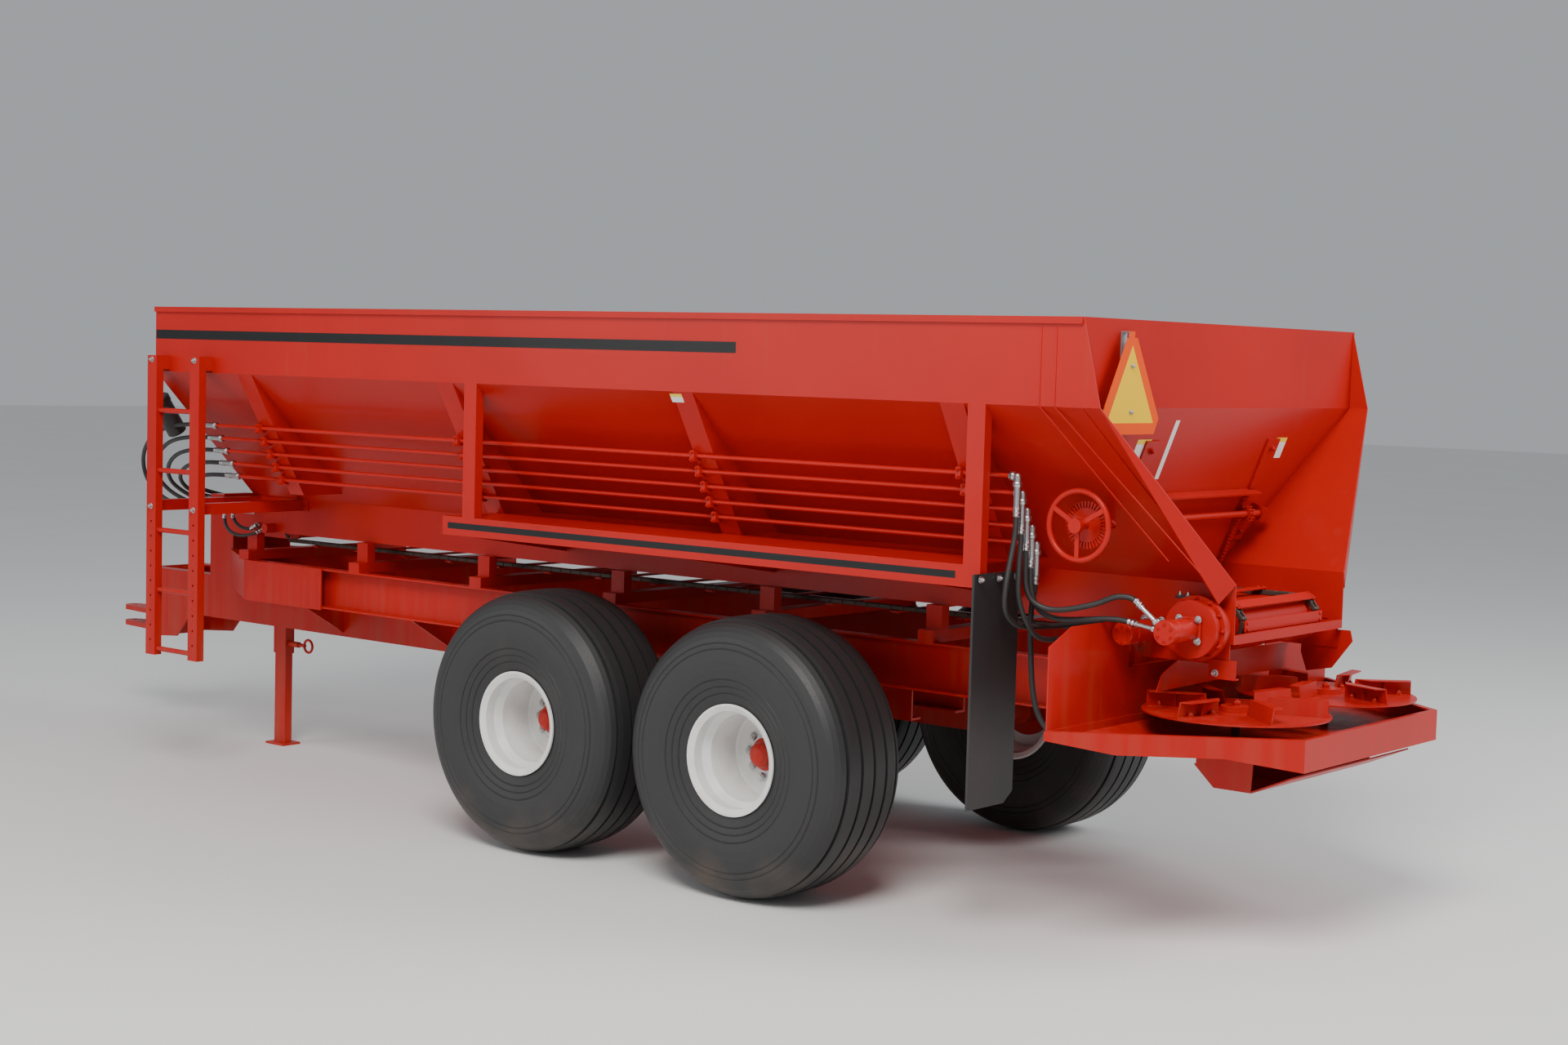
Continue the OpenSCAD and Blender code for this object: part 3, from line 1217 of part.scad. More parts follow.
module ladder_rail(x) difference() {
  block(x - ladder_rail_w, x, ladder_y - ladder_rail_d, ladder_y, ladder_z, ladder_z + ladder_len);
  block(x - ladder_rail_w + 5, x - 5, ladder_y - ladder_rail_d - 1, ladder_y - 5,
    ladder_z - 1, ladder_z + ladder_len + 1);
}
module brace(x) {
  y0 = sill_half_w + brace_t + seat_gap;
  y1 = ladder_y - ladder_rail_d - seat_gap;
  block(x, x + brace_leg, y0, y1, brace_top_z - brace_t, brace_top_z);
  block(x, x + brace_t, y0, y1, brace_top_z - brace_leg, brace_top_z);
}

function tube_y(z) = rib_foot_y + (z - deck_z) * (hopper_half_w - rib_foot_y) / (bend_z - deck_z) + tube_r + tube_gap;
module hydraulic_tubes() color("firebrick") at_frame() for (i = [0:tube_count - 1]) {
  z = tube_top_z - i * tube_drop;
  bar_x(tube_y(z), z, tube_r, tube_front_x - tube_len, tube_front_x);
  for (x = rib_xs) tube_clamp(x, z);
}
// Block that holds one tube against the outer face of a rib
module tube_clamp(x, z) difference() {
  translate([x + rib_w / 2 - 14, tube_y(z), z]) cube([24, 44, 44], center = true);
  end_plate(x - rib_w, x + rib_w) polygon([
    [hopper_half_w, bend_z], [rib_foot_y, deck_z], [0, deck_z], [0, bend_z]
  ]);
}

// Steel fittings on the tubes, the motors and the manifold
tube_rear_x = tube_front_x - tube_len;
elbow_len = 35;
elbow_drop = 115;
collar_len = 75;
port_len = 60;
port_r = 12;
stem_r = 10;
module tube_fittings() color("silver") at_frame() {
  for (i = [0:tube_count - 1]) {
    z = tube_top_z - i * tube_drop;
    bar_x(tube_y(z), z, collar_r, tube_rear_x - elbow_len, tube_rear_x);
    translate([tube_rear_x - elbow_len, tube_y(z), z]) sphere(r = collar_r, $fn = 24);
    bar_z(tube_rear_x - elbow_len, tube_y(z), collar_r, z - elbow_drop, z);
    bar_x(tube_y(z), z, collar_r, tube_front_x, tube_front_x + collar_len);
    bar_x(port_y - i * port_gap, port_z, port_r, manifold_front_x, manifold_front_x + port_len);
  }
  for (p = loop_ports) bar_z(p[0], p[1], port_r, port_z - 60, port_z - 30);
  for (p = loop_ends) bar_y(p[0], p[1], port_r, sill_half_w, sill_half_w + 25);
  motor_stem(upper_stem, 90);
  motor_stem(lower_stem, 85);
  for (z = [second_z + 17, second_z - 17])
    bar_x(sill_half_w + port_gap + 15, z, port_r, second_x + second_r, second_x + second_r + 43);
  bar_x(disc_y, flat_z - 42, port_r, disc_x + motor_r + 0.3, disc_x + motor_r + 30);
}
loop_ends = [[3345, 1210], [3395, 1230]];
// Turn of each stem round the main motor, forward and up, and its place along the motor
upper_stem = [38, 745];
lower_stem = [8, 740];
module motor_stem(place, stem_len) translate([drive_x, place[1], drive_z]) rotate([0, 90 - place[0], 0])
  translate([0, 0, drive_motor_r + 0.3]) cylinder(r = stem_r, h = stem_len - 0.3);

// Routes of the hoses behind the tubes, in the side, top and end views' millimetres
rear_route_1 = [
  [-1775, 945, 1661], [-1775, 949, 1560], [-1775, 978, 1450], [-1775, 1003, 1350], [-1775, 998, 1270],
  [-1778, 930, 1215], [-1790, 820, 1200], [-1830, 680, 1200], [-1885, 590, 1210], [-1950, 526, 1212], [-2020, 510, 1212]
];
rear_route_2 = [
  [-1775, 909, 1595], [-1776, 911, 1510], [-1780, 925, 1400], [-1785, 920, 1300], [-1810, 882, 1200],
  [-1815, 800, 1155], [-1840, 710, 1150], [-1870, 620, 1160], [-1920, 550, 1172], [-1965, 520, 1178], [-2020, 510, 1178]
];
rear_route_3 = [
  [-1775, 872, 1530], [-1776, 872, 1450], [-1780, 872, 1365], [-1805, 860, 1303], [-1870, 838, 1275],
  [-1960, 815, 1285], [-2050, 785, 1312], [-2110, 765, 1338], [-2170, 748, 1337], [-2213.5, 745, 1305.1]
];
rear_route_4 = [
  [-1775, 836, 1464], [-1777, 838, 1400], [-1785, 838, 1330], [-1812, 822, 1268], [-1870, 798, 1238],
  [-1960, 775, 1240], [-2050, 762, 1250], [-2115, 748, 1252], [-2155, 741, 1247], [-2191.2, 740, 1240.1]
];
rear_route_5 = [
  [-1775, 799, 1399], [-1770, 797, 1340], [-1755, 790, 1260], [-1748, 782, 1180], [-1750, 775, 1080],
  [-1755, 765, 960], [-1770, 740, 850], [-1810, 690, 775], [-1890, 620, 735], [-2000, 550, 725],
  [-2120, 480, 728], [-2220, 405, 735], [-2300, 376, 741], [-2346, 372, 742]
];
// Routes of the hoses in front of the tubes, hanging in loops back to the manifold
front_route_1 = [
  [3185, 945, 1776], [3300, 945, 1775], [3450, 938, 1765], [3620, 915, 1735], [3790, 870, 1675], [3930, 810, 1590],
  [4010, 745, 1490], [4010, 690, 1400], [3935, 648, 1338], [3820, 627, 1320], [3710, 620, 1345], [3620, 620, 1365]
];
front_route_2 = [
  [3185, 909, 1710], [3300, 909, 1709], [3440, 903, 1700], [3590, 885, 1672], [3740, 840, 1615], [3860, 780, 1540],
  [3915, 718, 1455], [3893, 650, 1382], [3825, 597, 1340], [3745, 580, 1333], [3680, 575, 1350], [3620, 575, 1365]
];
front_route_3 = [
  [3185, 872, 1645], [3300, 872, 1644], [3430, 866, 1636], [3560, 850, 1612], [3690, 810, 1565], [3795, 750, 1500],
  [3840, 680, 1432], [3812, 608, 1376], [3755, 555, 1342], [3695, 536, 1340], [3620, 530, 1365]
];
front_route_4 = [
  [3185, 836, 1579], [3300, 836, 1578], [3410, 830, 1570], [3530, 812, 1550], [3640, 775, 1512], [3730, 715, 1462],
  [3762, 645, 1412], [3740, 570, 1378], [3693, 512, 1362], [3655, 492, 1362], [3620, 485, 1365]
];
front_route_5 = [
  [3185, 799, 1514], [3290, 799, 1513], [3390, 794, 1507], [3490, 775, 1490], [3585, 735, 1462], [3660, 675, 1430],
  [3697, 600, 1408], [3700, 535, 1398], [3684, 475, 1386], [3655, 447, 1370], [3620, 440, 1365]
];
hose_sides = 8;
// Point of the smooth curve through a route, at t from 0 to 1 on the stretch that starts at point i
function spline(p, i, t) =
  let (a = p[max(i - 1, 0)], b = p[i], c = p[i + 1], d = p[min(i + 2, len(p) - 1)])
  (2 * b + (c - a) * t + (2 * a - 5 * b + 4 * c - d) * t * t + (3 * b - a - 3 * c + d) * t * t * t) / 2;
// Centres of a hose's rings, one every 2 to 3 diameters
function ring_centres(p) = [
  for (i = [0:len(p) - 2]) let (n = ceil(norm(p[i + 1] - p[i]) / (2.6 * hose_d)))
    for (k = [0:n - 1]) spline(p, i, k / n),
  p[len(p) - 1]
];
function unit(v) = v / norm(v);
// Directions of a hose at its rings, square to the fittings at both ends
function directions(c, first, last) = [
  for (i = [0:len(c) - 1]) i == 0 ? first : i == len(c) - 1 ? last : unit(c[i + 1] - c[i - 1])];
// Carries a side vector from ring to ring without twist
function side_vectors(t, i, v) =
  let (w = unit(v - (v * t[i]) * t[i]))
  i == len(t) - 1 ? [w] : concat([w], side_vectors(t, i + 1, w));
module hose(route, first, last) {
  c = ring_centres(route);
  t = directions(c, unit(first), unit(last));
  u = side_vectors(t, 0, [0.2, 1, 0.1]);
  n = len(c);
  polyhedron(
    points = [for (i = [0:n - 1], k = [0:hose_sides - 1]) let (a = k * 360 / hose_sides)
      c[i] + hose_d / 2 * (cos(a) * u[i] + sin(a) * cross(t[i], u[i]))],
    faces = concat(
      [[for (k = [0:hose_sides - 1]) k]],
      [[for (k = [hose_sides - 1:-1:0]) (n - 1) * hose_sides + k]],
      [for (i = [0:n - 2], k = [0:hose_sides - 1], half = [0, 1])
        let (a = i * hose_sides + k, b = i * hose_sides + (k + 1) % hose_sides)
        half == 0 ? [a, a + hose_sides, b + hose_sides] : [a, b + hose_sides, b]]
    )
  );
}
down = [0, 0, -1];
forward = [1, 0, 0];
back = [-1, 0, 0];
function into_stem(turn) = [-cos(turn), 0, -sin(turn)];
module rear_hose_1() color("black") at_frame() hose(rear_route_1, down, back);
module rear_hose_2() color("black") at_frame() hose(rear_route_2, down, back);
module rear_hose_3() color("black") at_frame() hose(rear_route_3, down, into_stem(upper_stem[0]));
module rear_hose_4() color("black") at_frame() hose(rear_route_4, down, into_stem(lower_stem[0]));
module rear_hose_5() color("black") at_frame() hose(rear_route_5, down, back);
module front_hose_1() color("black") at_frame() hose(front_route_1, forward, back);
module front_hose_2() color("black") at_frame() hose(front_route_2, forward, back);
module front_hose_3() color("black") at_frame() hose(front_route_3, forward, back);
module front_hose_4() color("black") at_frame() hose(front_route_4, forward, back);
module front_hose_5() color("black") at_frame() hose(front_route_5, forward, back);

emblem_y = hopper_half_w - 277;
emblem_z = bend_z - 97;
module emblem_bracket() difference() {
  block(hopper_rear_x - 38, hopper_rear_x, emblem_y - 18, emblem_y + 18, bend_z + 40, emblem_z + 380);
  block(hopper_rear_x - 32, hopper_rear_x - 4, emblem_y - 19, emblem_y + 19, bend_z + 44, emblem_z + 376);
}
module emblem() color("orange") at_frame() {
  emblem_bracket();
  end_plate(hopper_rear_x - 41, hopper_rear_x - 37) translate([emblem_y, emblem_z]) polygon([
    [-170, 0], [170, 0], [203, 58], [33, 356], [-33, 356], [-203, 58]
  ]);
}

hopper_side_left();
hopper_side_right();
hopper_front_wall();
hopper_rear_wall();
hopper_floor();
ribs_left();
ribs_right();
deck_left();
deck_right();
mudflap_left();
mudflap_right();
main_rails();
cross_members();
tongue();
hitch_clevis();
front_stand();
jack_sleeve();
jack_leg();
jack_pin();
walking_beam_left();
walking_beam_right();
pivot_tube();
tyre_front_left();
tyre_front_right();
tyre_rear_left();
tyre_rear_right();
rim_front_left();
rim_front_right();
rim_rear_left();
rim_rear_right();
hub_front_left();
hub_front_right();
hub_rear_left();
hub_rear_right();
conveyor_chain();
conveyor_shafts();
conveyor_drive();
gate();
gate_guides();
cross_shaft();
handwheel();
spinner_tray();
spinner_shield();
spinner_disc_left();
spinner_disc_right();
spinner_motors();
ladder();
hydraulic_tubes();
tube_fittings();
rear_hose_1();
rear_hose_2();
rear_hose_3();
rear_hose_4();
rear_hose_5();
front_hose_1();
front_hose_2();
front_hose_3();
front_hose_4();
front_hose_5();
emblem();
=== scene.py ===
# %% [markdown]
# # Manure spreader
# The frame, hopper, wheels and spinner come from the CAD model, already in their places.
# This script gives them their finishes and adds the small things that a workshop fits last:
# hoses, bolts, nuts, chain links and labels. It starts by loading the model and noting its box.

# %% Load the model
import bpy
import json
import math
from mathutils import Matrix, Vector


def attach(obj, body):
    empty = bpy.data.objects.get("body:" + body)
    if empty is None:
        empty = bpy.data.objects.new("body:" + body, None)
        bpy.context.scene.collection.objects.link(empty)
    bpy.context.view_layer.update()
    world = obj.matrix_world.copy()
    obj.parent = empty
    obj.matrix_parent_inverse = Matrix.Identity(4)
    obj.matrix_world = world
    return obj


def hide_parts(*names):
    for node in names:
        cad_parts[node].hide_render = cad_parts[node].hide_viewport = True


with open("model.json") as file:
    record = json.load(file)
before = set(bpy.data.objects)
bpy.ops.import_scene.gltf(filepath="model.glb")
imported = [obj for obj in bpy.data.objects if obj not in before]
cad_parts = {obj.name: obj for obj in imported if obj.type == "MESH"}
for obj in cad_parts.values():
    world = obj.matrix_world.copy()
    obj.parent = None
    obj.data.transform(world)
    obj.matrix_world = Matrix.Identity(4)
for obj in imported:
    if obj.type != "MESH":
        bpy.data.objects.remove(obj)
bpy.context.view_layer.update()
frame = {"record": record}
slots = {part["node"]: part["material_slot"] for part in frame["record"]["subparts"]}
print("CAD nodes:", len(slots))

# %% [markdown]
# ## Camera
# The photograph was taken from the left rear corner at a little above eye height. Its lens was found
# from the hopper, whose long edges are straight and parallel: 53 mm on a 36 mm wide sensor, rolled by
# a degree and a half. The matrix holds the camera's right, up and backward directions.

# %% Camera
LENS_MM, SENSOR_MM = 53.21, 36
AXLES_X = -1.2025  # the point midway between the axles, from the model's origin
CAMERA_PLACE = Vector((-6.630 + AXLES_X, 8.211, 2.1905))
YAW, PITCH, ROLL = (math.radians(a) for a in (-50.5187, -4.0275, 1.5541))


def camera_axes(yaw, pitch, roll):
    forward = Vector((math.cos(yaw) * math.cos(pitch), math.sin(yaw) * math.cos(pitch), math.sin(pitch)))
    right = forward.cross(Vector((0, 0, 1))).normalized()
    up = right.cross(forward)
    rolled_right = right * math.cos(roll) + up * math.sin(roll)
    rolled_up = up * math.cos(roll) - right * math.sin(roll)
    return rolled_right, rolled_up, -forward


camera_data = bpy.data.cameras.new("photo_camera")
camera_data.lens = LENS_MM
camera_data.sensor_width = SENSOR_MM
camera_data.sensor_fit = "HORIZONTAL"
camera = bpy.data.objects.new("photo_camera", camera_data)
turn = Matrix(camera_axes(YAW, PITCH, ROLL)).transposed().to_4x4()
camera.matrix_world = Matrix.Translation(CAMERA_PLACE) @ turn
bpy.context.collection.objects.link(camera)
bpy.context.scene.camera = camera
print("camera at", tuple(round(v, 3) for v in camera.location))

# %% [markdown]
# ## Hoses
# Each hose is a rubber tube reinforced with steel wire, cut to length and crimped into steel ends.
# Behind the hopper five hoses drop from the tubes' ends to the motors, and in front five loop back
# to the ports of the manifold. Their points are those of the model's source, but for the middle of the
# last front hose, which bends a little wider here. The two short loops are in this scene alone.
# Places are in millimetres, from the point on the ground midway between the axles.

# %% Routes
def at(x, y, z):
    """A place given in millimetres, as a vector in the model's metres."""
    return Vector((x / 1000 + AXLES_X, y / 1000, z / 1000))


ROUTES = {
    "rear_hose_1": [
        (-1775, 945, 1661), (-1775, 949, 1560), (-1775, 978, 1450), (-1775, 1003, 1350), (-1775, 998, 1270),
        (-1778, 930, 1215), (-1790, 820, 1200), (-1830, 680, 1200), (-1885, 590, 1210), (-1950, 526, 1212),
        (-2020, 510, 1212)],
    "rear_hose_2": [
        (-1775, 909, 1595), (-1776, 911, 1510), (-1780, 925, 1400), (-1785, 920, 1300), (-1810, 882, 1200),
        (-1815, 800, 1155), (-1840, 710, 1150), (-1870, 620, 1160), (-1920, 550, 1172), (-1965, 520, 1178),
        (-2020, 510, 1178)],
    "rear_hose_3": [
        (-1775, 872, 1530), (-1776, 872, 1450), (-1780, 872, 1365), (-1805, 860, 1303), (-1870, 838, 1275),
        (-1960, 815, 1285), (-2050, 785, 1312), (-2110, 765, 1338), (-2170, 748, 1337),
        (-2213.5, 745, 1305.1)],
    "rear_hose_4": [
        (-1775, 836, 1464), (-1777, 838, 1400), (-1785, 838, 1330), (-1812, 822, 1268), (-1870, 798, 1238),
        (-1960, 775, 1240), (-2050, 762, 1250), (-2115, 748, 1252), (-2155, 741, 1247),
        (-2191.2, 740, 1240.1)],
    "rear_hose_5": [
        (-1775, 799, 1399), (-1770, 797, 1340), (-1755, 790, 1260), (-1748, 782, 1180), (-1750, 775, 1080),
        (-1755, 765, 960), (-1770, 740, 850), (-1810, 690, 775), (-1890, 620, 735), (-2000, 550, 725),
        (-2120, 480, 728), (-2220, 405, 735), (-2300, 376, 741), (-2346, 372, 742)],
    "front_hose_1": [
        (3185, 945, 1776), (3300, 945, 1775), (3450, 938, 1765), (3620, 915, 1735), (3790, 870, 1675),
        (3930, 810, 1590), (4010, 745, 1490), (4010, 690, 1400), (3935, 648, 1338), (3820, 627, 1320),
        (3710, 620, 1345), (3620, 620, 1365)],
    "front_hose_2": [
        (3185, 909, 1710), (3300, 909, 1709), (3440, 903, 1700), (3590, 885, 1672), (3740, 840, 1615),
        (3860, 780, 1540), (3915, 718, 1455), (3893, 650, 1382), (3825, 597, 1340), (3745, 580, 1333),
        (3680, 575, 1350), (3620, 575, 1365)],
    "front_hose_3": [
        (3185, 872, 1645), (3300, 872, 1644), (3430, 866, 1636), (3560, 850, 1612), (3690, 810, 1565),
        (3795, 750, 1500), (3840, 680, 1432), (3812, 608, 1376), (3755, 555, 1342), (3695, 536, 1340),
        (3620, 530, 1365)],
    "front_hose_4": [
        (3185, 836, 1579), (3300, 836, 1578), (3410, 830, 1570), (3530, 812, 1550), (3640, 775, 1512),
        (3730, 715, 1462), (3762, 645, 1412), (3740, 570, 1378), (3693, 512, 1362), (3655, 492, 1362),
        (3620, 485, 1365)],
    "front_hose_5": [
        (3185, 799, 1514), (3290, 799, 1513), (3390, 794, 1507), (3490, 775, 1490), (3585, 732, 1462),
        (3656, 672, 1432), (3699, 598, 1410), (3710, 530, 1392), (3699, 483, 1379), (3666, 451, 1369),
        (3620, 440, 1365)],
}
LOOPS = {
    "loop_hose_1": [
        (3500, 600, 1305), (3501, 600, 1265), (3495, 596, 1228), (3472, 585, 1197), (3435, 566, 1180),
        (3395, 545, 1179), (3366, 523, 1187), (3350, 500, 1198), (3345, 475, 1210)],
    "loop_hose_2": [
        (3500, 545, 1305), (3499.5, 544.7, 1277.5), (3492.7, 540.1, 1251.4), (3478.6, 530.7, 1230),
        (3459, 517.7, 1215.9), (3436.7, 502.8, 1211), (3414.3, 487.9, 1216), (3395, 475, 1230)],
}
print("routes:", len(ROUTES), "and short loops:", len(LOOPS))

# %% [markdown]
# ### One hose
# A curve with a round bevel suits a hose, because it keeps one thickness along one smooth line. The
# few points of a route become twice as many on a Catmull-Rom spline, which passes through them all.
# The thickness is set as each point's radius.

# %% One hose
def smooth_route(points, steps=2):
    smooth = []
    for i in range(len(points) - 1):
        a, b = points[max(i - 1, 0)], points[i]
        c, d = points[i + 1], points[min(i + 2, len(points) - 1)]
        for k in range(steps):
            t = k / steps
            smooth.append((b * 2 + (c - a) * t + (a * 2 - b * 5 + c * 4 - d) * t ** 2
                           + (b * 3 - a - c * 3 + d) * t ** 3) / 2)
    return smooth + [points[-1]]


def hose(name, route, diameter):
    """The hose's curve, the line of its points, and the length of that line."""
    line = smooth_route([at(*p) for p in route])
    data = bpy.data.curves.new(name, "CURVE")
    data.dimensions = "3D"
    data.bevel_depth = 1
    data.bevel_resolution = 4
    data.resolution_u = 4
    spline = data.splines.new("BEZIER")
    spline.bezier_points.add(len(line) - 1)
    for point, place in zip(spline.bezier_points, line):
        point.co = place
        point.radius = diameter / 2
        point.handle_left_type = point.handle_right_type = "AUTO"
    piece = bpy.data.objects.new(name + "_rubber", data)
    bpy.context.collection.objects.link(piece)
    length = sum((b - a).length for a, b in zip(line, line[1:]))
    return piece, line, length


# %% [markdown]
# ### Every hose
# Each hose rides on the chassis, stands in for its plain solid in the model, and prints its length
# and the number of its points.

# %% Hoses
HOSE_D, LOOP_D = 0.022, 0.018
CURVE_OVER_STEPS = 1.004  # the curve is this much longer than the straight steps between its points
hoses = []
for name, route in [*ROUTES.items(), *LOOPS.items()]:
    diameter = HOSE_D if name in ROUTES else LOOP_D
    piece, line, length = hose(name, route, diameter)
    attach(piece, "chassis")
    if name in slots:
        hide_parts(name)
    round(length * CURVE_OVER_STEPS, 3)
    hoses.append(piece)
    print(name, "length", round(length, 3), "points", len(line))

# %% [markdown]
# ## Floor
# A plain pale floor keeps the picture calm. One flat plane is enough, because it is so wide that its
# edge lies at the horizon. Everything is deselected first, since loading leaves the model selected.

# %% Floor
FLOOR_SIZE = 120


def deselect_all():
    if bpy.context.mode != "OBJECT":
        bpy.ops.object.mode_set(mode="OBJECT")
    bpy.ops.object.select_all(action="DESELECT")


deselect_all()
bpy.ops.mesh.primitive_plane_add(size=FLOOR_SIZE, location=(0, 0, 0))
floor = bpy.context.object
floor.name = "floor"
print("floor:", FLOOR_SIZE, "m wide")

# %% [markdown]
# ## Light
# Large soft lamps stand in for an open sky: one high above the camera, one low fill at the machine's
# left front, and one at its right rear. They are kept weak, because strong light washes out red.

# %% Light
SKY = (0.86, 0.9, 0.95, 1)
SKY_STRENGTH = 0.45


def area_light(name, place, target, size, power, colour=(1, 1, 1)):
    data = bpy.data.lights.new(name, "AREA")
    data.shape = "DISK"
    data.size = size
    data.energy = power
    data.color = colour
    lamp = bpy.data.objects.new(name, data)
    lamp.location = place
    lamp.rotation_euler = (Vector(target) - Vector(place)).to_track_quat("-Z", "Y").to_euler()
    bpy.context.collection.objects.link(lamp)
    print(name, "lamp:", power, "W")


area_light("key", (-6, 8, 10), (0, 0, 1), 6, 1500, (1.0, 0.97, 0.93))
area_light("fill", (6, 11, 4), (0, 0, 1), 7, 300)
area_light("back", (-10, -5, 7), (-2, 0, 1), 6, 700)
world = bpy.data.worlds.new("studio")
bpy.context.scene.world = world
world.use_nodes = True
world.node_tree.nodes["Background"].inputs["Color"].default_value = SKY
world.node_tree.nodes["Background"].inputs["Strength"].default_value = SKY_STRENGTH

# %% [markdown]
# ## Writing materials as sums
# A finish is easier to read as arithmetic than as a web of nodes. `Value` wraps a node's socket, so
# `a * b` adds the Math node by itself. Each operator comes with its reflected form, as in `1 - mask`.

# %% Values
class Value:
    def __init__(self, finish, socket):
        self.finish, self.socket = finish, socket

    def _math(self, operation, a, b, clamp=False):
        return self.finish.node("ShaderNodeMath", {"operation": operation, "use_clamp": clamp}, {0: a, 1: b})

    def __add__(self, other): return self._math("ADD", self, other)
    def __radd__(self, other): return self._math("ADD", other, self)
    def __sub__(self, other): return self._math("SUBTRACT", self, other)
    def __rsub__(self, other): return self._math("SUBTRACT", other, self)
    def __mul__(self, other): return self._math("MULTIPLY", self, other)
    def __rmul__(self, other): return self._math("MULTIPLY", other, self)
    def __gt__(self, other): return self._math("GREATER_THAN", self, other)
    def __lt__(self, other): return self._math("LESS_THAN", self, other)
    def __abs__(self): return self._math("ABSOLUTE", self, 0)
    def __pow__(self, other): return self._math("POWER", self, other)
    def clamped(self): return self._math("ADD", self, 0, clamp=True)

# %% [markdown]
# ### One finish
# `Finish` builds one material. Its `node` adds any node from its type, its settings and its inputs, and
# the methods below it are the few patterns that all the finishes share. Patterns read the Object
# coordinates, which are the model's own metres, because every piece stands at the origin.

# %% One finish
class Finish:
    def __init__(self, name):
        self.material = bpy.data.materials.new(name)
        self.material.use_nodes = True
        self.tree = self.material.node_tree
        self.shader = self.tree.nodes["Principled BSDF"]

    def feed(self, socket, value):
        if isinstance(value, Value):
            self.tree.links.new(value.socket, socket)
        else:
            socket.default_value = value

    def node(self, kind, settings, inputs, output=0):
        made = self.tree.nodes.new(kind)
        for key, value in settings.items():
            setattr(made, key, value)
        for key, value in inputs.items():
            self.feed(made.inputs[key], value)
        return Value(self, made.outputs[output])

    def place(self):
        return self.node("ShaderNodeTexCoord", {}, {}, "Object")

    def axes(self):
        where = self.place()
        return [self.node("ShaderNodeSeparateXYZ", {}, {0: where}, axis) for axis in "XYZ"]

    def noise(self, scale, detail, stretch=(1, 1, 1)):
        where = self.node("ShaderNodeMapping", {}, {"Vector": self.place(), "Scale": stretch})
        return self.node("ShaderNodeTexNoise", {}, {"Vector": where, "Scale": scale, "Detail": detail})

    def mix(self, factor, a, b):
        return self.node("ShaderNodeMixRGB", {}, {0: factor, 1: a, 2: b})

    def rescale(self, value, start, end, first, last, way="LINEAR"):
        """The value's way from start to end, turned into a number from first to last."""
        sockets = {0: value, 1: start, 2: end, 3: first, 4: last}
        return self.node("ShaderNodeMapRange", {"interpolation_type": way}, sockets)

    def band(self, value, low, high, soft):
        """One between low and high and nought outside, with soft edges."""
        rise = self.rescale(value, low - soft, low + soft, 0.0, 1.0, "SMOOTHSTEP")
        fall = self.rescale(value, high - soft, high + soft, 1.0, 0.0, "SMOOTHSTEP")
        return rise * fall

    def bump(self, height, distance, strength):
        sockets = {"Height": height, "Distance": distance, "Strength": strength}
        normal = self.node("ShaderNodeBump", {}, sockets)
        self.feed(self.shader.inputs["Normal"], normal)

    def gloss(self, level):
        self.shader.inputs["Specular IOR Level"].default_value = level

    def surface(self, **sockets):
        for name, value in sockets.items():
            self.feed(self.shader.inputs[name.replace("_", " ")], value)
        print("finish:", self.material.name)
        return self.material


# %% [markdown]
# ## Red enamel
# The whole machine wears one bright red. New farm enamel is glossy with a faint orange peel, a little
# paler where dust has settled low down, and darker in patches. Soft noise gives the patches, noise that
# is stretched along the height gives streaks of dust, and a fine bump gives the peel.

# %% Red enamel
RED = (0.50, 0.010, 0.006, 1)
RED_DEEP = (0.38, 0.007, 0.005, 1)
DUST = (0.30, 0.11, 0.07, 1)
DUST_TOP, DUST_FULL = 1.3, 0.3  # heights in metres between which the dust grows


def dusty_red(finish, height):
    """The enamel's colour, and how much dust lies on it."""
    patches = finish.noise(1.3, 4.0)
    streaks = finish.noise(2.0, 5.0, (9, 9, 0.6))
    colour = finish.mix((patches * 1.3 - 0.25).clamped(), RED, RED_DEEP)
    low = finish.rescale(height, DUST_TOP, DUST_FULL, 0.0, 0.35)
    dirt = (low * streaks * 1.4 + (streaks - 0.62) * 0.5).clamped()
    return finish.mix(dirt, colour, DUST), dirt


def glossy_coat(finish, colour, dirt):
    peel = finish.noise(900, 1.0)
    waves = finish.noise(3.0, 2.0)
    finish.bump(peel * 0.15 + waves * 3.0, 0.0012, 0.35)
    finish.gloss(0.22)
    return finish.surface(Base_Color=colour, Roughness=dirt * 0.5 + 0.34, Coat_Weight=0.03)


def red_enamel():
    finish = Finish("red_enamel")
    _, _, z = finish.axes()
    return glossy_coat(finish, *dusty_red(finish, z))


finishes = {"red_paint": red_enamel()}

# %% [markdown]
# ## Striped enamel
# One black stripe runs along the upper side of the hopper and another along each deck's edge.
# They are vinyl tape, so they are drawn in the paint as bands between two heights and two ends,
# and only on the outer face, which lies farther than a set distance from the middle.

# %% Striped enamel
BLACK_TAPE = (0.012, 0.012, 0.013, 1)
SIDE_STRIPE = {"z": (2.210, 2.256), "x": (-0.48 + AXLES_X, 3.44 + AXLES_X), "y": 1.0815}
DECK_STRIPE = {"z": (1.385, 1.413), "x": (-1.60 + AXLES_X, 1.22 + AXLES_X), "y": 1.0815}


def striped_enamel(name, stripe):
    finish = Finish(name)
    x, y, z = finish.axes()
    colour, dirt = dusty_red(finish, z)
    along = finish.band(x, *stripe["x"], 0.001)
    across = finish.band(z, *stripe["z"], 0.0008)
    tape = along * across * (abs(y) > stripe["y"])
    return glossy_coat(finish, finish.mix(tape, colour, BLACK_TAPE), dirt)


side_enamel = striped_enamel("side_enamel", SIDE_STRIPE)
deck_enamel = striped_enamel("deck_enamel", DECK_STRIPE)

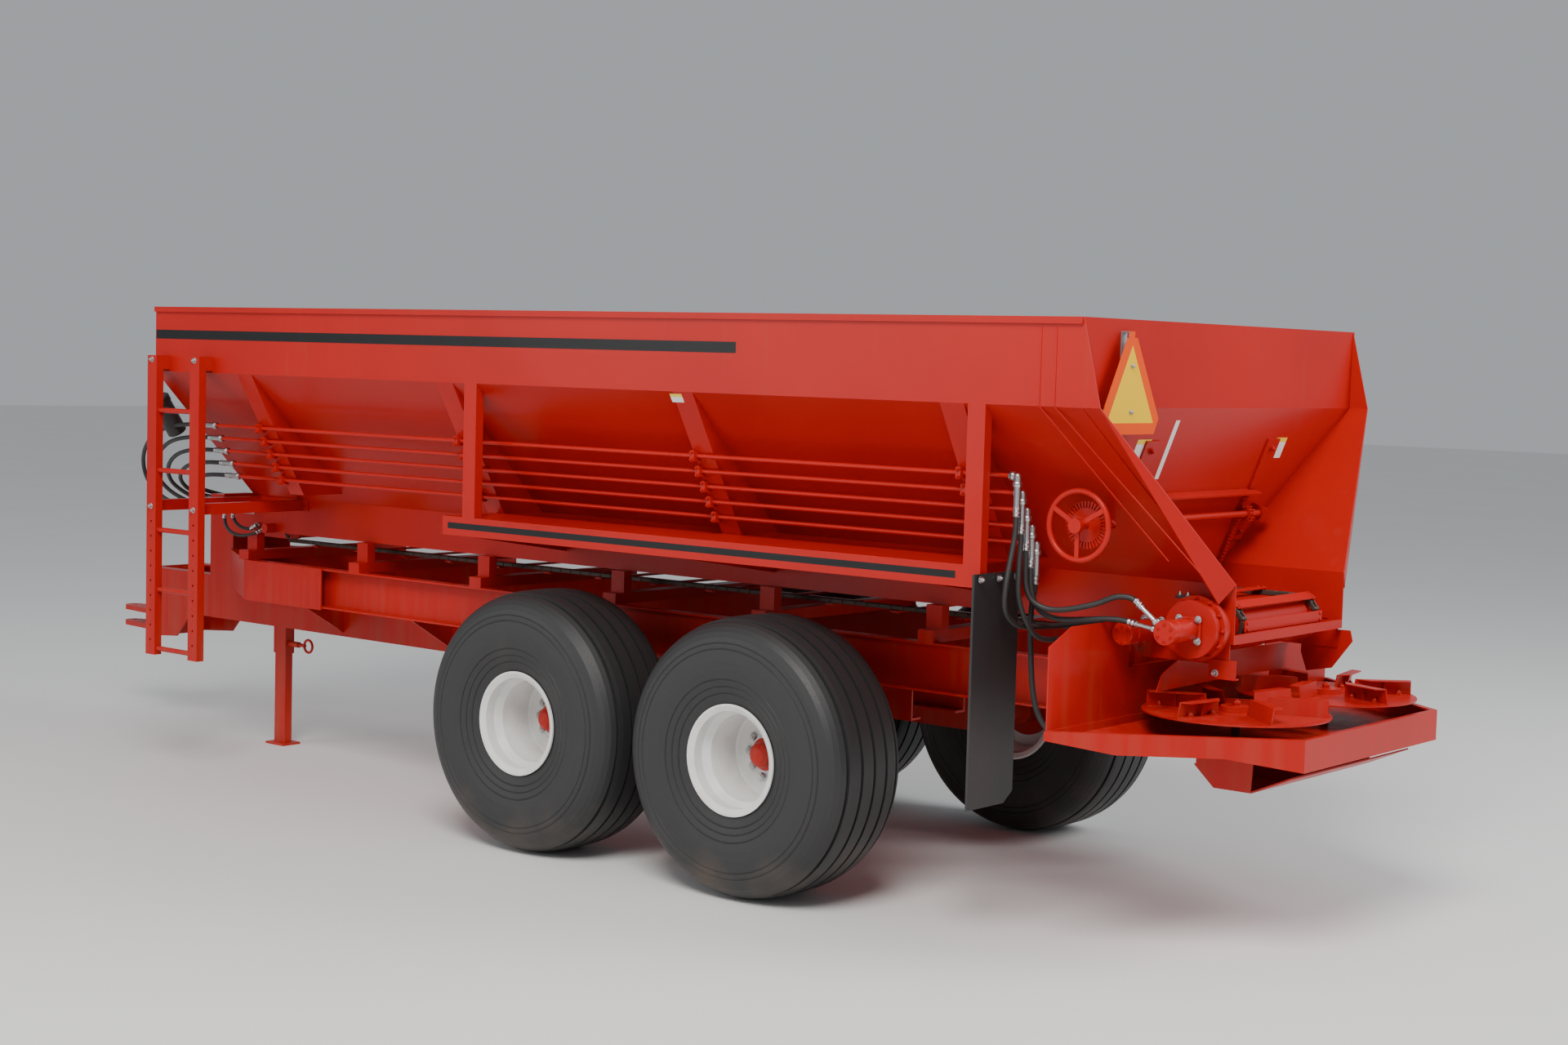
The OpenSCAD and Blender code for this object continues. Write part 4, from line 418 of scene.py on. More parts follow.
# %% [markdown]
# ## White rims
# The rims are white enamel with grey-brown road dust in soft patches.

# %% White enamel
WHITE = (0.80, 0.80, 0.78, 1)
ROAD_DUST = (0.42, 0.36, 0.30, 1)


def white_enamel():
    finish = Finish("white_enamel")
    grime = finish.noise(9.0, 6.0)
    colour = finish.mix((grime * 1.6 - 0.7).clamped() * 0.5, WHITE, ROAD_DUST)
    finish.bump(finish.noise(700, 1.0), 0.0003, 0.3)
    return finish.surface(Base_Color=colour, Roughness=grime * 0.3 + 0.2, Coat_Weight=0.3)


finishes["white_paint"] = white_enamel()

# %% [markdown]
# ## Rubber
# A tyre's side wall carries fine moulded rings. They are too shallow to model, so the distance from the
# wheel's axle gives them as bands in the bump. Soil clings low down. Flaps and hoses are smoother.

# %% Rubber
WHEEL_X, WHEEL_Z = 616, 576
RING_RADII = (0.272, 0.300, 0.330, 0.452, 0.476)
RING_HALF, RING_SOFT = 0.002, 0.0015
TYRE_BLACK, TYRE_SOIL = (0.022, 0.022, 0.023, 1), (0.11, 0.075, 0.055, 1)
RUBBER_BLACK, RUBBER_DUST = (0.018, 0.018, 0.019, 1), (0.09, 0.07, 0.055, 1)


def tyre_rubber():
    finish = Finish("tyre_rubber")
    x, _, z = finish.axes()
    radius = ((abs(x - AXLES_X) - WHEEL_X / 1000) ** 2 + (z - WHEEL_Z / 1000) ** 2) ** 0.5
    rings = sum((finish.band(radius, r - RING_HALF, r + RING_HALF, RING_SOFT) for r in RING_RADII), 0)
    grime = finish.noise(5.0, 7.0)
    fine = finish.noise(160.0, 4.0)
    low = finish.rescale(z, 0.35, 0.0, 0.0, 0.7)
    soil = (low * grime * 1.6 + (grime - 0.66) * 1.2).clamped()
    colour = finish.mix(soil * 0.7, TYRE_BLACK, TYRE_SOIL)
    finish.bump(rings * 4.0 + fine * 0.4, 0.002, 0.8)
    return finish.surface(Base_Color=colour, Roughness=fine * 0.2 + 0.42)


def black_rubber():
    finish = Finish("black_rubber")
    grime = finish.noise(4.0, 6.0, (1, 1, 0.4))
    fine = finish.noise(260.0, 3.0)
    colour = finish.mix((grime * 1.5 - 0.6).clamped() * 0.4, RUBBER_BLACK, RUBBER_DUST)
    finish.bump(fine, 0.0006, 0.5)
    return finish.surface(Base_Color=colour, Roughness=fine * 0.3 + 0.38)


finishes["tyre"] = tyre_rubber()
finishes["black_rubber"] = black_rubber()

# %% [markdown]
# ## Steel and iron
# Fittings are zinc plated steel with a cloudy shine. The chain is bare oiled iron, darker and rougher.

# %% Steel and iron
ZINC, ZINC_DULL = (0.62, 0.63, 0.64, 1), (0.42, 0.42, 0.42, 1)
IRON, IRON_RUSTY = (0.05, 0.048, 0.046, 1), (0.13, 0.09, 0.07, 1)


def zinc_steel():
    finish = Finish("zinc_steel")
    cloud = finish.noise(40.0, 4.0)
    finish.bump(finish.noise(600.0, 2.0), 0.0002, 0.4)
    return finish.surface(Base_Color=finish.mix(cloud, ZINC, ZINC_DULL), Metallic=1.0,
                          Roughness=cloud * 0.3 + 0.2)


def dark_iron():
    finish = Finish("dark_iron")
    cloud = finish.noise(25.0, 5.0)
    finish.bump(finish.noise(300.0, 3.0), 0.0006, 0.5)
    return finish.surface(Base_Color=finish.mix(cloud, IRON, IRON_RUSTY), Metallic=0.6,
                          Roughness=cloud * 0.3 + 0.45)


finishes["bright_steel"] = zinc_steel()
finishes["dark_metal"] = dark_iron()

# %% [markdown]
# ## Slow-vehicle sign
# The sign is a yellow-orange triangle inside a red border, with its corners cut off. The border is the
# place within 42 mm of one of the three long edges, so three straight-line distances give it. Behind
# the plate, the socket that holds it is bare grey steel.

# %% Sign
SIGN_FOOT, SIGN_Y, SIGN_BACK = 1.948, 0.805, -3.3672
SIGN_HEIGHT, CORNER_HEIGHT = 0.356, 0.058
SIGN_HALF_FOOT, SIGN_HALF_TOP = 0.203, 0.033
BORDER = 0.042
BORDER_RED, SIGN_YELLOW = (0.78, 0.075, 0.001, 1), (0.86, 0.52, 0.001, 1)
SOCKET_GREY = (0.46, 0.46, 0.47, 1)


def sign_sheet():
    finish = Finish("sign_sheet")
    x, y, z = finish.axes()
    slope = math.atan2(SIGN_HALF_FOOT - SIGN_HALF_TOP, SIGN_HEIGHT - CORNER_HEIGHT)
    from_foot = z - SIGN_FOOT
    from_side = ((SIGN_HALF_FOOT - abs(y - SIGN_Y)) * math.cos(slope)
                 - (from_foot - CORNER_HEIGHT) * math.sin(slope))
    inner = (from_foot > BORDER) * (from_side > BORDER)
    socket = x > SIGN_BACK
    colour = finish.mix(socket, finish.mix(inner, BORDER_RED, SIGN_YELLOW), SOCKET_GREY)
    finish.bump(finish.noise(1500.0, 0.0), 0.0003, 0.4)
    finish.gloss(0.15)
    return finish.surface(Base_Color=colour, Roughness=0.45, Metallic=socket * 0.8)


finishes["sign"] = sign_sheet()

# %% [markdown]
# ## Floor finish
# A matt, nearly white floor, with clouds that are only just visible, shows the shadows softly.

# %% Floor finish
def floor_paint():
    finish = Finish("floor_paint")
    cloud = finish.noise(0.6, 3.0)
    return finish.surface(Base_Color=finish.mix(cloud, (0.86, 0.86, 0.85, 1), (0.80, 0.80, 0.79, 1)),
                          Roughness=0.7)


# %% [markdown]
# ## Dressing the CAD nodes
# Every node keeps its own mesh and only changes its material, chosen by the record's slot. Three kinds
# differ: the hopper's sides and the decks wear stripes, and the jack's pin is painted with the jack.

# %% Dress the CAD nodes
special = {
    "hopper_side_left": side_enamel, "hopper_side_right": side_enamel,
    "deck_left": deck_enamel, "deck_right": deck_enamel, "jack_pin": finishes["red_paint"],
}


def set_material(piece, material):
    if not piece.material_slots:
        piece.data.materials.append(material)
    for slot in piece.material_slots:
        slot.material = material


for node, slot_name in slots.items():
    set_material(bpy.data.objects[node], special.get(node, finishes[slot_name]))
set_material(floor, floor_paint())
for piece in hoses:
    set_material(piece, finishes["black_rubber"])
print("dressed nodes:", len(slots), "and hoses:", len(hoses))

# %% [markdown]
# ## Crisp edges
# Folded and sheared steel never has a perfectly sharp edge, and the thin line of light along it is what
# makes a sheet look like metal. A bevel modifier rounds the sharp edges of the CAD nodes by about a
# millimetre. Tyres, rims, hubs and the hoses' solids go without, as their curves are round already.

# %% Crisp edges
SMOOTH_NODES = ("tyre", "rim", "hub")
EDGE_WIDTH = 0.0012
SHARP_ANGLE = math.radians(50)
for node in slots:
    body = bpy.data.objects[node]
    if node.startswith(SMOOTH_NODES) or node in ROUTES:
        continue
    edge = body.modifiers.new("edge", "BEVEL")
    edge.width = EDGE_WIDTH
    edge.segments = 1
    edge.limit_method = "ANGLE"
    edge.angle_limit = SHARP_ANGLE

# %% [markdown]
# ## Tools for small pieces
# Blender's operators act on all that is selected, so each helper first selects just its own piece.
# `finish_piece` names a piece, smooths its curved faces and paints it.

# %% Selecting, joining and finishing
SMOOTH_ANGLE = math.radians(35)


def select_only(pieces):
    deselect_all()
    for piece in pieces:
        piece.select_set(True)
    bpy.context.view_layer.objects.active = pieces[0]


def apply_place(piece):
    """Moves a piece's place and turn into its mesh, so that its object stands at the origin."""
    select_only([piece])
    bpy.ops.object.transform_apply(location=True, rotation=True, scale=True)


def join(pieces):
    select_only(pieces)
    if len(pieces) > 1:
        bpy.ops.object.join()
    return bpy.context.view_layer.objects.active


def finish_piece(piece, name, body, material):
    piece.name = name
    select_only([piece])
    bpy.ops.object.shade_smooth_by_angle(angle=SMOOTH_ANGLE)
    set_material(piece, material)
    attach(piece, body)
    print(name, "polygons:", len(piece.data.polygons))


def discard(*masters):
    for master in masters:
        bpy.data.objects.remove(master, do_unlink=True)


# %% [markdown]
# ### Turned pieces and blocks
# Washers, studs, bars and ferrules are turned on a lathe, so their profile is spun round an axis in edit
# mode, and the doubled seam is merged. Flanges and plates are cubes at their size with bevelled edges.

# %% Turned pieces and blocks
def bevelled(piece, width, segments):
    rounding = piece.modifiers.new("rounding", "BEVEL")
    rounding.width = width
    rounding.segments = segments
    rounding.limit_method = "ANGLE"
    rounding.angle_limit = math.radians(40)
    select_only([piece])
    bpy.ops.object.modifier_apply(modifier=rounding.name)


def turned(profile, name, steps=24):
    """A turned piece: a profile of (radius, height) pairs in metres, spun round the Z axis."""
    mesh = bpy.data.meshes.new(name)
    mesh.from_pydata([(r, 0, z) for r, z in profile], [(i, i + 1) for i in range(len(profile) - 1)], [])
    piece = bpy.data.objects.new(name, mesh)
    bpy.context.collection.objects.link(piece)
    select_only([piece])
    bpy.ops.object.mode_set(mode="EDIT")
    bpy.ops.mesh.select_all(action="SELECT")
    bpy.ops.mesh.spin(steps=steps, angle=math.tau, center=(0, 0, 0), axis=(0, 0, 1))
    bpy.ops.mesh.select_all(action="SELECT")
    bpy.ops.mesh.remove_doubles(threshold=1e-6)
    bpy.ops.mesh.normals_make_consistent(inside=False)
    bpy.ops.object.mode_set(mode="OBJECT")
    return piece


def facing(point, direction):
    """A matrix that stands a piece on a point, with its Z axis along the direction."""
    return Matrix.Translation(point) @ Vector(direction).to_track_quat("Z", "Y").to_matrix().to_4x4()


def round_bar(name, radius, length, centre, axis, sides, chamfer=0.0015):
    """A turned bar with chamfered ends, centred on a point along an axis."""
    half = length / 2
    piece = turned([(0, -half), (radius - chamfer, -half), (radius, chamfer - half), (radius, half - chamfer),
                    (radius - chamfer, half), (0, half)], name, sides)
    piece.matrix_world = facing(centre, axis)
    apply_place(piece)
    return piece


def cuboid(name, size, place, bevel, segments=1):
    deselect_all()
    bpy.ops.mesh.primitive_cube_add(size=1, location=(0, 0, 0))
    piece = bpy.context.object
    piece.name = name
    piece.scale = size
    apply_place(piece)
    bevelled(piece, bevel, segments)
    piece.location = place
    apply_place(piece)
    return piece


# %% [markdown]
# ### Copies
# What repeats is modelled once, standing on the origin and pointing up, and is then copied to where the
# machine has it. Each copy gets its own mesh, and each group is joined to one piece.

# %% Copies
def copy_to(master, frames, name, body, material):
    """A copy of the master at each matrix, joined to one piece that rides on the body."""
    copies = []
    for placement in frames:
        copy = master.copy()
        copy.data = master.data.copy()
        copy.matrix_world = placement
        bpy.context.collection.objects.link(copy)
        copies.append(copy)
    piece = join(copies)
    apply_place(piece)
    print("copies:", len(frames), end=" ")
    finish_piece(piece, name, body, material)
    return piece


def spread(master, places, name, body, material):
    """As copy_to, with a point and the direction to face for each copy."""
    return copy_to(master, [facing(point, direction) for point, direction in places], name, body, material)


# %% [markdown]
# ## Hexagon bolts and nuts
# A bolt head is a hexagonal bar with its corners chamfered, on a round washer, and the end of its stud
# stands out above the nut. A nut on a pipe fitting has neither washer nor stud.

# %% Hexagon bolts and nuts
WASHER = 0.003


def hex_nut(name, across, height, lift=0.0):
    """A hexagonal bar with chamfered ends, given by the width across its flats."""
    deselect_all()
    bpy.ops.mesh.primitive_cylinder_add(vertices=6, radius=across / math.sqrt(3), depth=height,
                                        location=(0, 0, height / 2 + lift))
    head = bpy.context.object
    head.name = name
    apply_place(head)
    bevelled(head, height * 0.14, 1)
    return head


def hex_bolt(name, across, height):
    head = hex_nut(name, across, height, WASHER)
    washer_r, stud_r = across * 0.78, across * 0.3
    washer = turned([(0, 0), (washer_r, 0), (washer_r, 0.0024), (across * 0.72, WASHER), (0, WASHER)],
                    name + "_washer")
    stud = turned([(stud_r, height), (stud_r, height + 0.006), (across * 0.24, height + 0.008),
                   (0, height + 0.008)], name + "_stud", 12)
    return join([head, washer, stud])


red, steel = finishes["red_paint"], finishes["bright_steel"]
bolt_12 = hex_bolt("bolt_12", 0.013, 0.006)
bolt_20 = hex_bolt("bolt_20", 0.019, 0.010)
bolt_30 = hex_bolt("bolt_30", 0.028, 0.016)
print("bolts:", [(bolt.name, len(bolt.data.polygons)) for bolt in (bolt_12, bolt_20, bolt_30)])

# %% [markdown]
# ## Places on the machine
# The bolts sit on the model's own faces, so the sizes that place those faces are repeated here, in
# millimetres: the hopper's leaning walls, the steel tubes' heights, the ribs and the main shafts.

# %% Places on the machine
LEFT, FORWARD, UP = Vector((0, 1, 0)), Vector((1, 0, 0)), Vector((0, 0, 1))
WALL_Y, BEND_Z = 1082, 2045                 # the side's upright wall, and its bend
SLOPE_FOOT_Y, SLOPE_FOOT_Z = 745, 1440      # the side's slope where the deck meets it
REAR_FOOT_Y, REAR_FOOT_Z = 450, 1390        # the rear wall's lower corner
END_X = -2128                               # the rear wall's outer face at the bend
END_LEAN = math.radians(21)
TUBE_STANDOFF = 13
TUBE_Z = [1776 - 65.5 * i for i in range(5)]
RIB_X = (2717, 1262, -193, -1557)
DRIVE_X, TRACK_Z = -2320, 1222              # the conveyor's drive shaft
DISC_X, DISC_Y = -2420, 372
SIDES = (("left", 1), ("right", -1))
AXLES = (("front", WHEEL_X), ("rear", -WHEEL_X))
WALL_OUT = Vector((-math.cos(END_LEAN), 0, -math.sin(END_LEAN)))
WALL_UP = Vector((-math.sin(END_LEAN), 0, math.cos(END_LEAN)))


def end_x(z):
    """The rear wall's outer face below the hopper's bend."""
    return END_X + (BEND_Z - z) * math.tan(END_LEAN)


def tube_y(z):
    """How far a steel tube lies from the middle at its height, along the side's slope."""
    along = (z - SLOPE_FOOT_Z) * (WALL_Y - SLOPE_FOOT_Y) / (BEND_Z - SLOPE_FOOT_Z)
    return SLOPE_FOOT_Y + along + TUBE_STANDOFF


def ring_of(count, radius, first=0.0):
    """Evenly spaced places on a circle, as pairs of steps across and up."""
    angles = [math.tau * (i + first) / count for i in range(count)]
    return [(radius * math.cos(a), radius * math.sin(a)) for a in angles]


print("tubes at", [round(tube_y(z)) for z in TUBE_Z])

# %% [markdown]
# ## Wheel nuts
# Ten nuts hold each wheel on its hub. They ride on the wheel, so that they turn with it.

# %% Wheel nuts
NUT_CIRCLE, NUT_FACE_Y = 102, 962
for end, wheel_x in AXLES:
    for side, sign in SIDES:
        nuts = [(at(wheel_x + dx, sign * NUT_FACE_Y, WHEEL_Z + dz), LEFT * sign)
                for dx, dz in ring_of(10, NUT_CIRCLE)]
        spread(bolt_30, nuts, "wheel_nuts_%s_%s" % (end, side), "wheel_%s_%s" % (end, side), steel)

# %% [markdown]
# ## Bolts of the body
# The flaps, ladder, sign and hitch are held by plated bolts. Those of the gearcase, of the tubes' clamps
# and of the gate's guides were painted over in red with the machine.

# %% Bolts of the body
flap_bolts = [(at(-1729, sign * y, 1390), -FORWARD) for sign in (1, -1) for y in (865, 980, 1100)]
spread(bolt_20, flap_bolts, "flap_bolts", "chassis", steel)
flange_bolts = [(at(DRIVE_X + dx, 530, TRACK_Z + dz), LEFT) for dx, dz in ring_of(12, 117)]
spread(bolt_12, flange_bolts, "gearcase_bolts", "chassis", red)
clamp_bolts = [(at(x + 41, tube_y(z) + 22, z + s * 15), LEFT) for x in RIB_X for z in TUBE_Z for s in (1, -1)]
spread(bolt_12, clamp_bolts, "clamp_bolts", "chassis", red)
ladder_bolts = [(at(x, 1162, z), LEFT) for x in (3362, 3008) for z in (2104, 1357)]
spread(bolt_20, ladder_bolts, "ladder_bolts", "chassis", steel)
sign_bolts = [(at(-2169, 805, z), -FORWARD) for z in (2030, 2200)]
spread(bolt_12, sign_bolts, "sign_bolts", "chassis", steel)

GATE_HALF, GUIDE_WIDE, GUIDE_GAP, GUIDE_Y = 426, 100, 10, 486
guide_edge = GATE_HALF + GUIDE_GAP + GUIDE_WIDE + GUIDE_GAP
guide_foot = REAR_FOOT_Z + (guide_edge - REAR_FOOT_Y) / ((WALL_Y - REAR_FOOT_Y) / (BEND_Z - REAR_FOOT_Z))
guide_bolts = [(at(end_x(guide_foot), sign * GUIDE_Y, guide_foot) + WALL_OUT * 0.008 + WALL_UP * up, WALL_OUT)
               for sign in (1, -1) for up in (0.04, 0.42)]
spread(bolt_20, guide_bolts, "guide_bolts", "chassis", red)
hitch_bolts = [(at(4775, y, z), FORWARD) for y in (-85, 85) for z in (505, 715)]
spread(bolt_30, hitch_bolts, "hitch_bolts", "chassis", steel)

# %% [markdown]
# ## Bolts of the spinner discs
# Two bolts hold the foot of each of the six blades, and one large nut holds the disc on its shaft.

# %% Bolts of the spinner discs
BLADES, BLADE_BOLT_RADII, BLADE_FOOT_OFFSET = 6, (165, 290), 17
for side, sign in SIDES:
    feet = []
    for i in range(BLADES):
        angle = math.radians(360 / BLADES * i + 20)
        for radius in BLADE_BOLT_RADII:
            x = radius * math.cos(angle) - BLADE_FOOT_OFFSET * math.sin(angle)
            y = radius * math.sin(angle) + BLADE_FOOT_OFFSET * math.cos(angle)
            feet.append((at(DISC_X + x, sign * (DISC_Y + y), 908), UP))
    spread(bolt_20, feet, "blade_bolts_" + side, "disc_" + side, red)
    spread(bolt_30, [(at(DISC_X, sign * DISC_Y, 926), UP)], "disc_nut_" + side, "disc_" + side, red)
discard(bolt_30)

# %% [markdown]
# ## Conveyor chain
# A pintle chain is made of cast links: each has two side bars, a barrel at one end and a pin through the
# next link's barrel. Flat bars bolted across the two strands drag the load to the rear. The track is two
# straight runs and two half turns round the sprockets, so a place on it follows from its length alone.

# %% The chain's track
IDLER_X, TRACK_R = 3280, 75
RUN = IDLER_X - DRIVE_X
HALF_TURN = math.pi * TRACK_R
CHAIN_LENGTH = 2 * RUN + 2 * math.pi * TRACK_R


def along_track(s, r):
    """Place (x, z), direction (x, z) and outward normal (x, z) after s millimetres of the track."""
    s = s % CHAIN_LENGTH
    if s < RUN:
        return (DRIVE_X + s, TRACK_Z + r), (1, 0), (0, 1)
    s -= RUN
    if s < HALF_TURN:
        c, n = math.cos(s / TRACK_R), math.sin(s / TRACK_R)
        return (IDLER_X + r * n, TRACK_Z + r * c), (c, -n), (n, c)
    s -= HALF_TURN
    if s < RUN:
        return (IDLER_X - s, TRACK_Z - r), (-1, 0), (0, -1)
    c, n = math.cos((s - RUN) / TRACK_R), math.sin((s - RUN) / TRACK_R)
    return (DRIVE_X - r * n, TRACK_Z - r * c), (-c, n), (-n, -c)


def track_frame(s, y, r=TRACK_R):
    (x, z), (dx, dz), (nx, nz) = along_track(s, r)
    turn = Matrix(((dx, 0, nx), (0, 1, 0), (dz, 0, nz))).to_4x4()
    return Matrix.Translation(at(x, y, z)) @ turn


print("chain length:", round(CHAIN_LENGTH), "mm")

# %% [markdown]
# ### Chain links
# One link is five plain bodies joined: two side bars, a web, the barrel and the pin. With so many copies
# it keeps few faces.

# %% Chain links
LINKS, STRAND_Y = 176, 300
pitch = CHAIN_LENGTH / LINKS / 1000
link = join([
    cuboid("side_a", (pitch * 0.98, 0.005, 0.018), (0, 0.0145, 0), 0.002),
    cuboid("side_b", (pitch * 0.98, 0.005, 0.018), (0, -0.0145, 0), 0.002),
    cuboid("web", (0.010, 0.026, 0.008), (pitch * 0.12, 0, 0), 0.0015),
    round_bar("barrel", 0.0085, 0.026, (pitch * -0.38, 0, 0), LEFT, 10),
    round_bar("pin", 0.0045, 0.036, (pitch * -0.38, 0, 0), LEFT, 8, 0.0008)])
link_frames = [track_frame(CHAIN_LENGTH * i / LINKS, y) for y in (STRAND_Y, -STRAND_Y) for i in range(LINKS)]
chain = copy_to(link, link_frames, "chain_links", "chassis", finishes["dark_metal"])
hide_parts("conveyor_chain")

# %% [markdown]
# ### Scraper bars
# Sixteen flat bars ride on each run, and three more go round the drive shaft. Two round heads fix each
# bar on each strand.

# %% Scraper bars
BARS, BAR_R = 16, 90.3
scraper = join([cuboid("flat", (0.044, 0.636, 0.008), (0, 0, 0.001), 0.0015)]
               + [round_bar("rivet", 0.007, 0.006, (sx * 0.012, sy * STRAND_Y / 1000, 0.0065), UP, 10)
                  for sx in (1, -1) for sy in (1, -1)])
bar_stops = [RUN * (i - 0.5) / BARS for i in range(1, BARS + 1)]
bar_stops += [RUN + HALF_TURN + RUN - s for s in bar_stops]
bar_stops += [CHAIN_LENGTH - HALF_TURN * (0.5 + turn / 180) for turn in (-60, 0, 60)]
bars = copy_to(scraper, [track_frame(s, 0, BAR_R) for s in bar_stops], "chain_bars", "chassis", red)
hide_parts("conveyor_chain")
discard(link, scraper)

# %% [markdown]
# ## Motors and gearcase
# Hydraulic motors of this kind have a square mounting flange with four bolts, a turned body and a cover
# at the end held by a ring of screws. The CAD model has the body, so the flange, the cover, a band and
# the screws are fitted round it. The gearcase carries a black breather cap on top.

# %% Motors
screw = turned([(0, 0), (0.006, 0), (0.006, 0.004), (0.005, 0.005), (0.0032, 0.005), (0.003, 0.002),
                (0, 0.002)], "screw", 10)


def motor_dress(name, axis_x, axis_z, face_y, end_y, radius):
    """Flange, cover and screws for a motor whose axis lies along Y. Its radius is in metres."""
    flange = cuboid(name + "_flange", (radius * 2.3, 0.014, radius * 2.3), at(axis_x, face_y + 7, axis_z),
                    0.006, 2)
    cover = round_bar(name + "_cover", radius + 0.0025, 0.03, at(axis_x, end_y - 14, axis_z), LEFT, 32, 0.003)
    band = round_bar(name + "_band", radius + 0.002, 0.012, at(axis_x, end_y - 62, axis_z), LEFT, 32, 0.002)
    finish_piece(join([flange, cover, band]), name + "_flange", "chassis", red)
    corner, circle = radius * 900, radius * 700
    corners = [(at(axis_x + sx * corner, face_y + 14, axis_z + sz * corner), LEFT)
               for sx, sz in ((1, 1), (1, -1), (-1, 1), (-1, -1))]
    spread(bolt_20, corners, name + "_bolts", "chassis", steel)
    screws = [(at(axis_x + dx, end_y + 1, axis_z + dz), LEFT) for dx, dz in ring_of(6, circle, 0.5)]
    spread(screw, screws, name + "_screws", "chassis", red)


motor_dress("drive_motor", DRIVE_X, TRACK_Z, 570, 760, 0.045)
motor_dress("second_motor", -2105, 1195, 462, 700, 0.042)

# %% [markdown]
# ### Breather cap
# The cap lets air in and out of the gearcase as its oil warms. It is a small plate on a round neck.

# %% Breather cap
CAP_X, CAP_Y = -2250, 500
cap = join([cuboid("cap_plate", (0.062, 0.034, 0.010), at(CAP_X, CAP_Y, 1335), 0.003, 2),
            round_bar("cap_neck", 0.014, 0.060, at(CAP_X, CAP_Y, 1303), UP, 20)])
finish_piece(cap, "breather_cap", "chassis", finishes["black_rubber"])
spread(bolt_20, [(at(-2369, 456.5, 1052), LEFT)], "bracket_bolt", "chassis", steel)
spread(bolt_12, [(at(CAP_X + dx, CAP_Y, 1340), UP) for dx in (17, -17)], "breather_bolts", "chassis", steel)

# %% [markdown]
# ## Hose ends
# A union nut draws each fitting onto its steel tube or port. It is a plain hexagon, in two sizes.

# %% Union nuts
nut = hex_nut("nut", 0.034, 0.022)
small_nut = hex_nut("small_nut", 0.028, 0.016)
nuts = []
for z in TUBE_Z:
    y = tube_y(z)
    nuts += [(at(-1764, y, z), FORWARD), (at(-1775, y, z - 20), -UP), (at(3114, y, z), FORWARD)]
nuts += [(at(3564, 620 - 45 * i, 1365), FORWARD) for i in range(5)]
nuts += [(at(-2060, 510, z), FORWARD) for z in (1212, 1178)] + [(at(-2374, DISC_Y, 742), FORWARD)]
spread(nut, nuts, "union_nuts", "chassis", steel)
ports = [(at(3500, y, 1334), -UP) for y in (600, 545)]
ports += [(at(x, 452, z), LEFT) for x, z in ((3345, 1210), (3395, 1230))]
for lean, y in ((math.radians(38), 745), (math.radians(8), 740)):
    outward = Vector((math.cos(lean), 0, math.sin(lean)))
    ports.append((at(DRIVE_X + 50 * outward.x, y, TRACK_Z + 50 * outward.z), outward))
spread(small_nut, ports, "port_nuts", "chassis", steel)

# %% [markdown]
# ### Ferrules
# A steel ferrule is crimped round the hose to grip it on its fitting. It has two squeezed waists, so it
# is turned from a profile and copied to both ends of every hose, facing along it.

# %% Ferrules
def ferrule(name, radius):
    waist, rim = radius + 0.0018, radius + 0.0032
    return turned([(radius - 0.001, 0), (rim, 0), (rim, 0.006), (waist, 0.008), (waist, 0.013), (rim, 0.015),
                   (rim, 0.021), (waist, 0.023), (waist, 0.028), (rim, 0.030), (rim, 0.037),
                   (radius - 0.0005, 0.040)], name, 16)


def end_places(routes):
    places = []
    for route in routes.values():
        line = smooth_route([at(*p) for p in route], 6)
        places += [(line[0], line[2] - line[0]), (line[-1], line[-3] - line[-1])]
    return places


big_ferrule, small_ferrule = ferrule("big_ferrule", HOSE_D / 2), ferrule("small_ferrule", LOOP_D / 2)
spread(big_ferrule, end_places(ROUTES), "hose_ferrules", "chassis", steel)
spread(small_ferrule, end_places(LOOPS), "loop_ferrules", "chassis", steel)
discard(nut, small_nut, big_ferrule, small_ferrule, screw, bolt_12, bolt_20)

# %% [markdown]
# ## Blank labels
# The real machine wears a few printed labels. Here they are blank sheets of vinyl, a fifth of a
# millimetre thick, lying on the same walls, so that the surfaces keep their small bright marks. They
# stay thinner than the gap to the gate, which slides past them.

# %% Blank labels
SCUFFED = (0.55, 0.52, 0.48, 1)
VINYL = 0.0002


def vinyl(name, colour):
    finish = Finish(name)
    scuff = finish.noise(60.0, 4.0)
    shade = finish.mix((scuff - 0.45).clamped() * 0.5, colour, SCUFFED)
    return finish.surface(Base_Color=shade, Roughness=scuff * 0.2 + 0.3)


def wall_frame(centre, outward, up):
    """A matrix whose X runs along the wall, Y up it and Z out of it."""
    out, up = Vector(outward).normalized(), Vector(up).normalized()
    side = up.cross(out)
    return Matrix.Translation(centre) @ Matrix((side, up, out)).transposed().to_4x4()


def on_rear_slope(y, z, lift=0.0001):
    return wall_frame(at(end_x(z), y, z) + WALL_OUT * lift, WALL_OUT, WALL_UP)


def label(name, width, height, place, material):
    master = cuboid(name + "_master", (width, height, VINYL), (0, 0, VINYL / 2), VINYL / 4)
    copy_to(master, [place], name, "chassis", material)
    discard(master)


white_vinyl = vinyl("white_vinyl", (0.78, 0.78, 0.76, 1))
yellow_vinyl = vinyl("yellow_vinyl", (0.85, 0.62, 0.03, 1))
HEAD_LIFT = 0.0005
label("load_scale", 0.030, 0.248, on_rear_slope(350, 1881), white_vinyl)
label("rear_label_left", 0.100, 0.092, on_rear_slope(545, 1880), white_vinyl)
label("rear_label_left_head", 0.100, 0.020, on_rear_slope(545, 1914, HEAD_LIFT), yellow_vinyl)
label("rear_label_right", 0.090, 0.092, on_rear_slope(-562, 1878), white_vinyl)
label("rear_label_right_head", 0.090, 0.020, on_rear_slope(-562, 1912, HEAD_LIFT), yellow_vinyl)

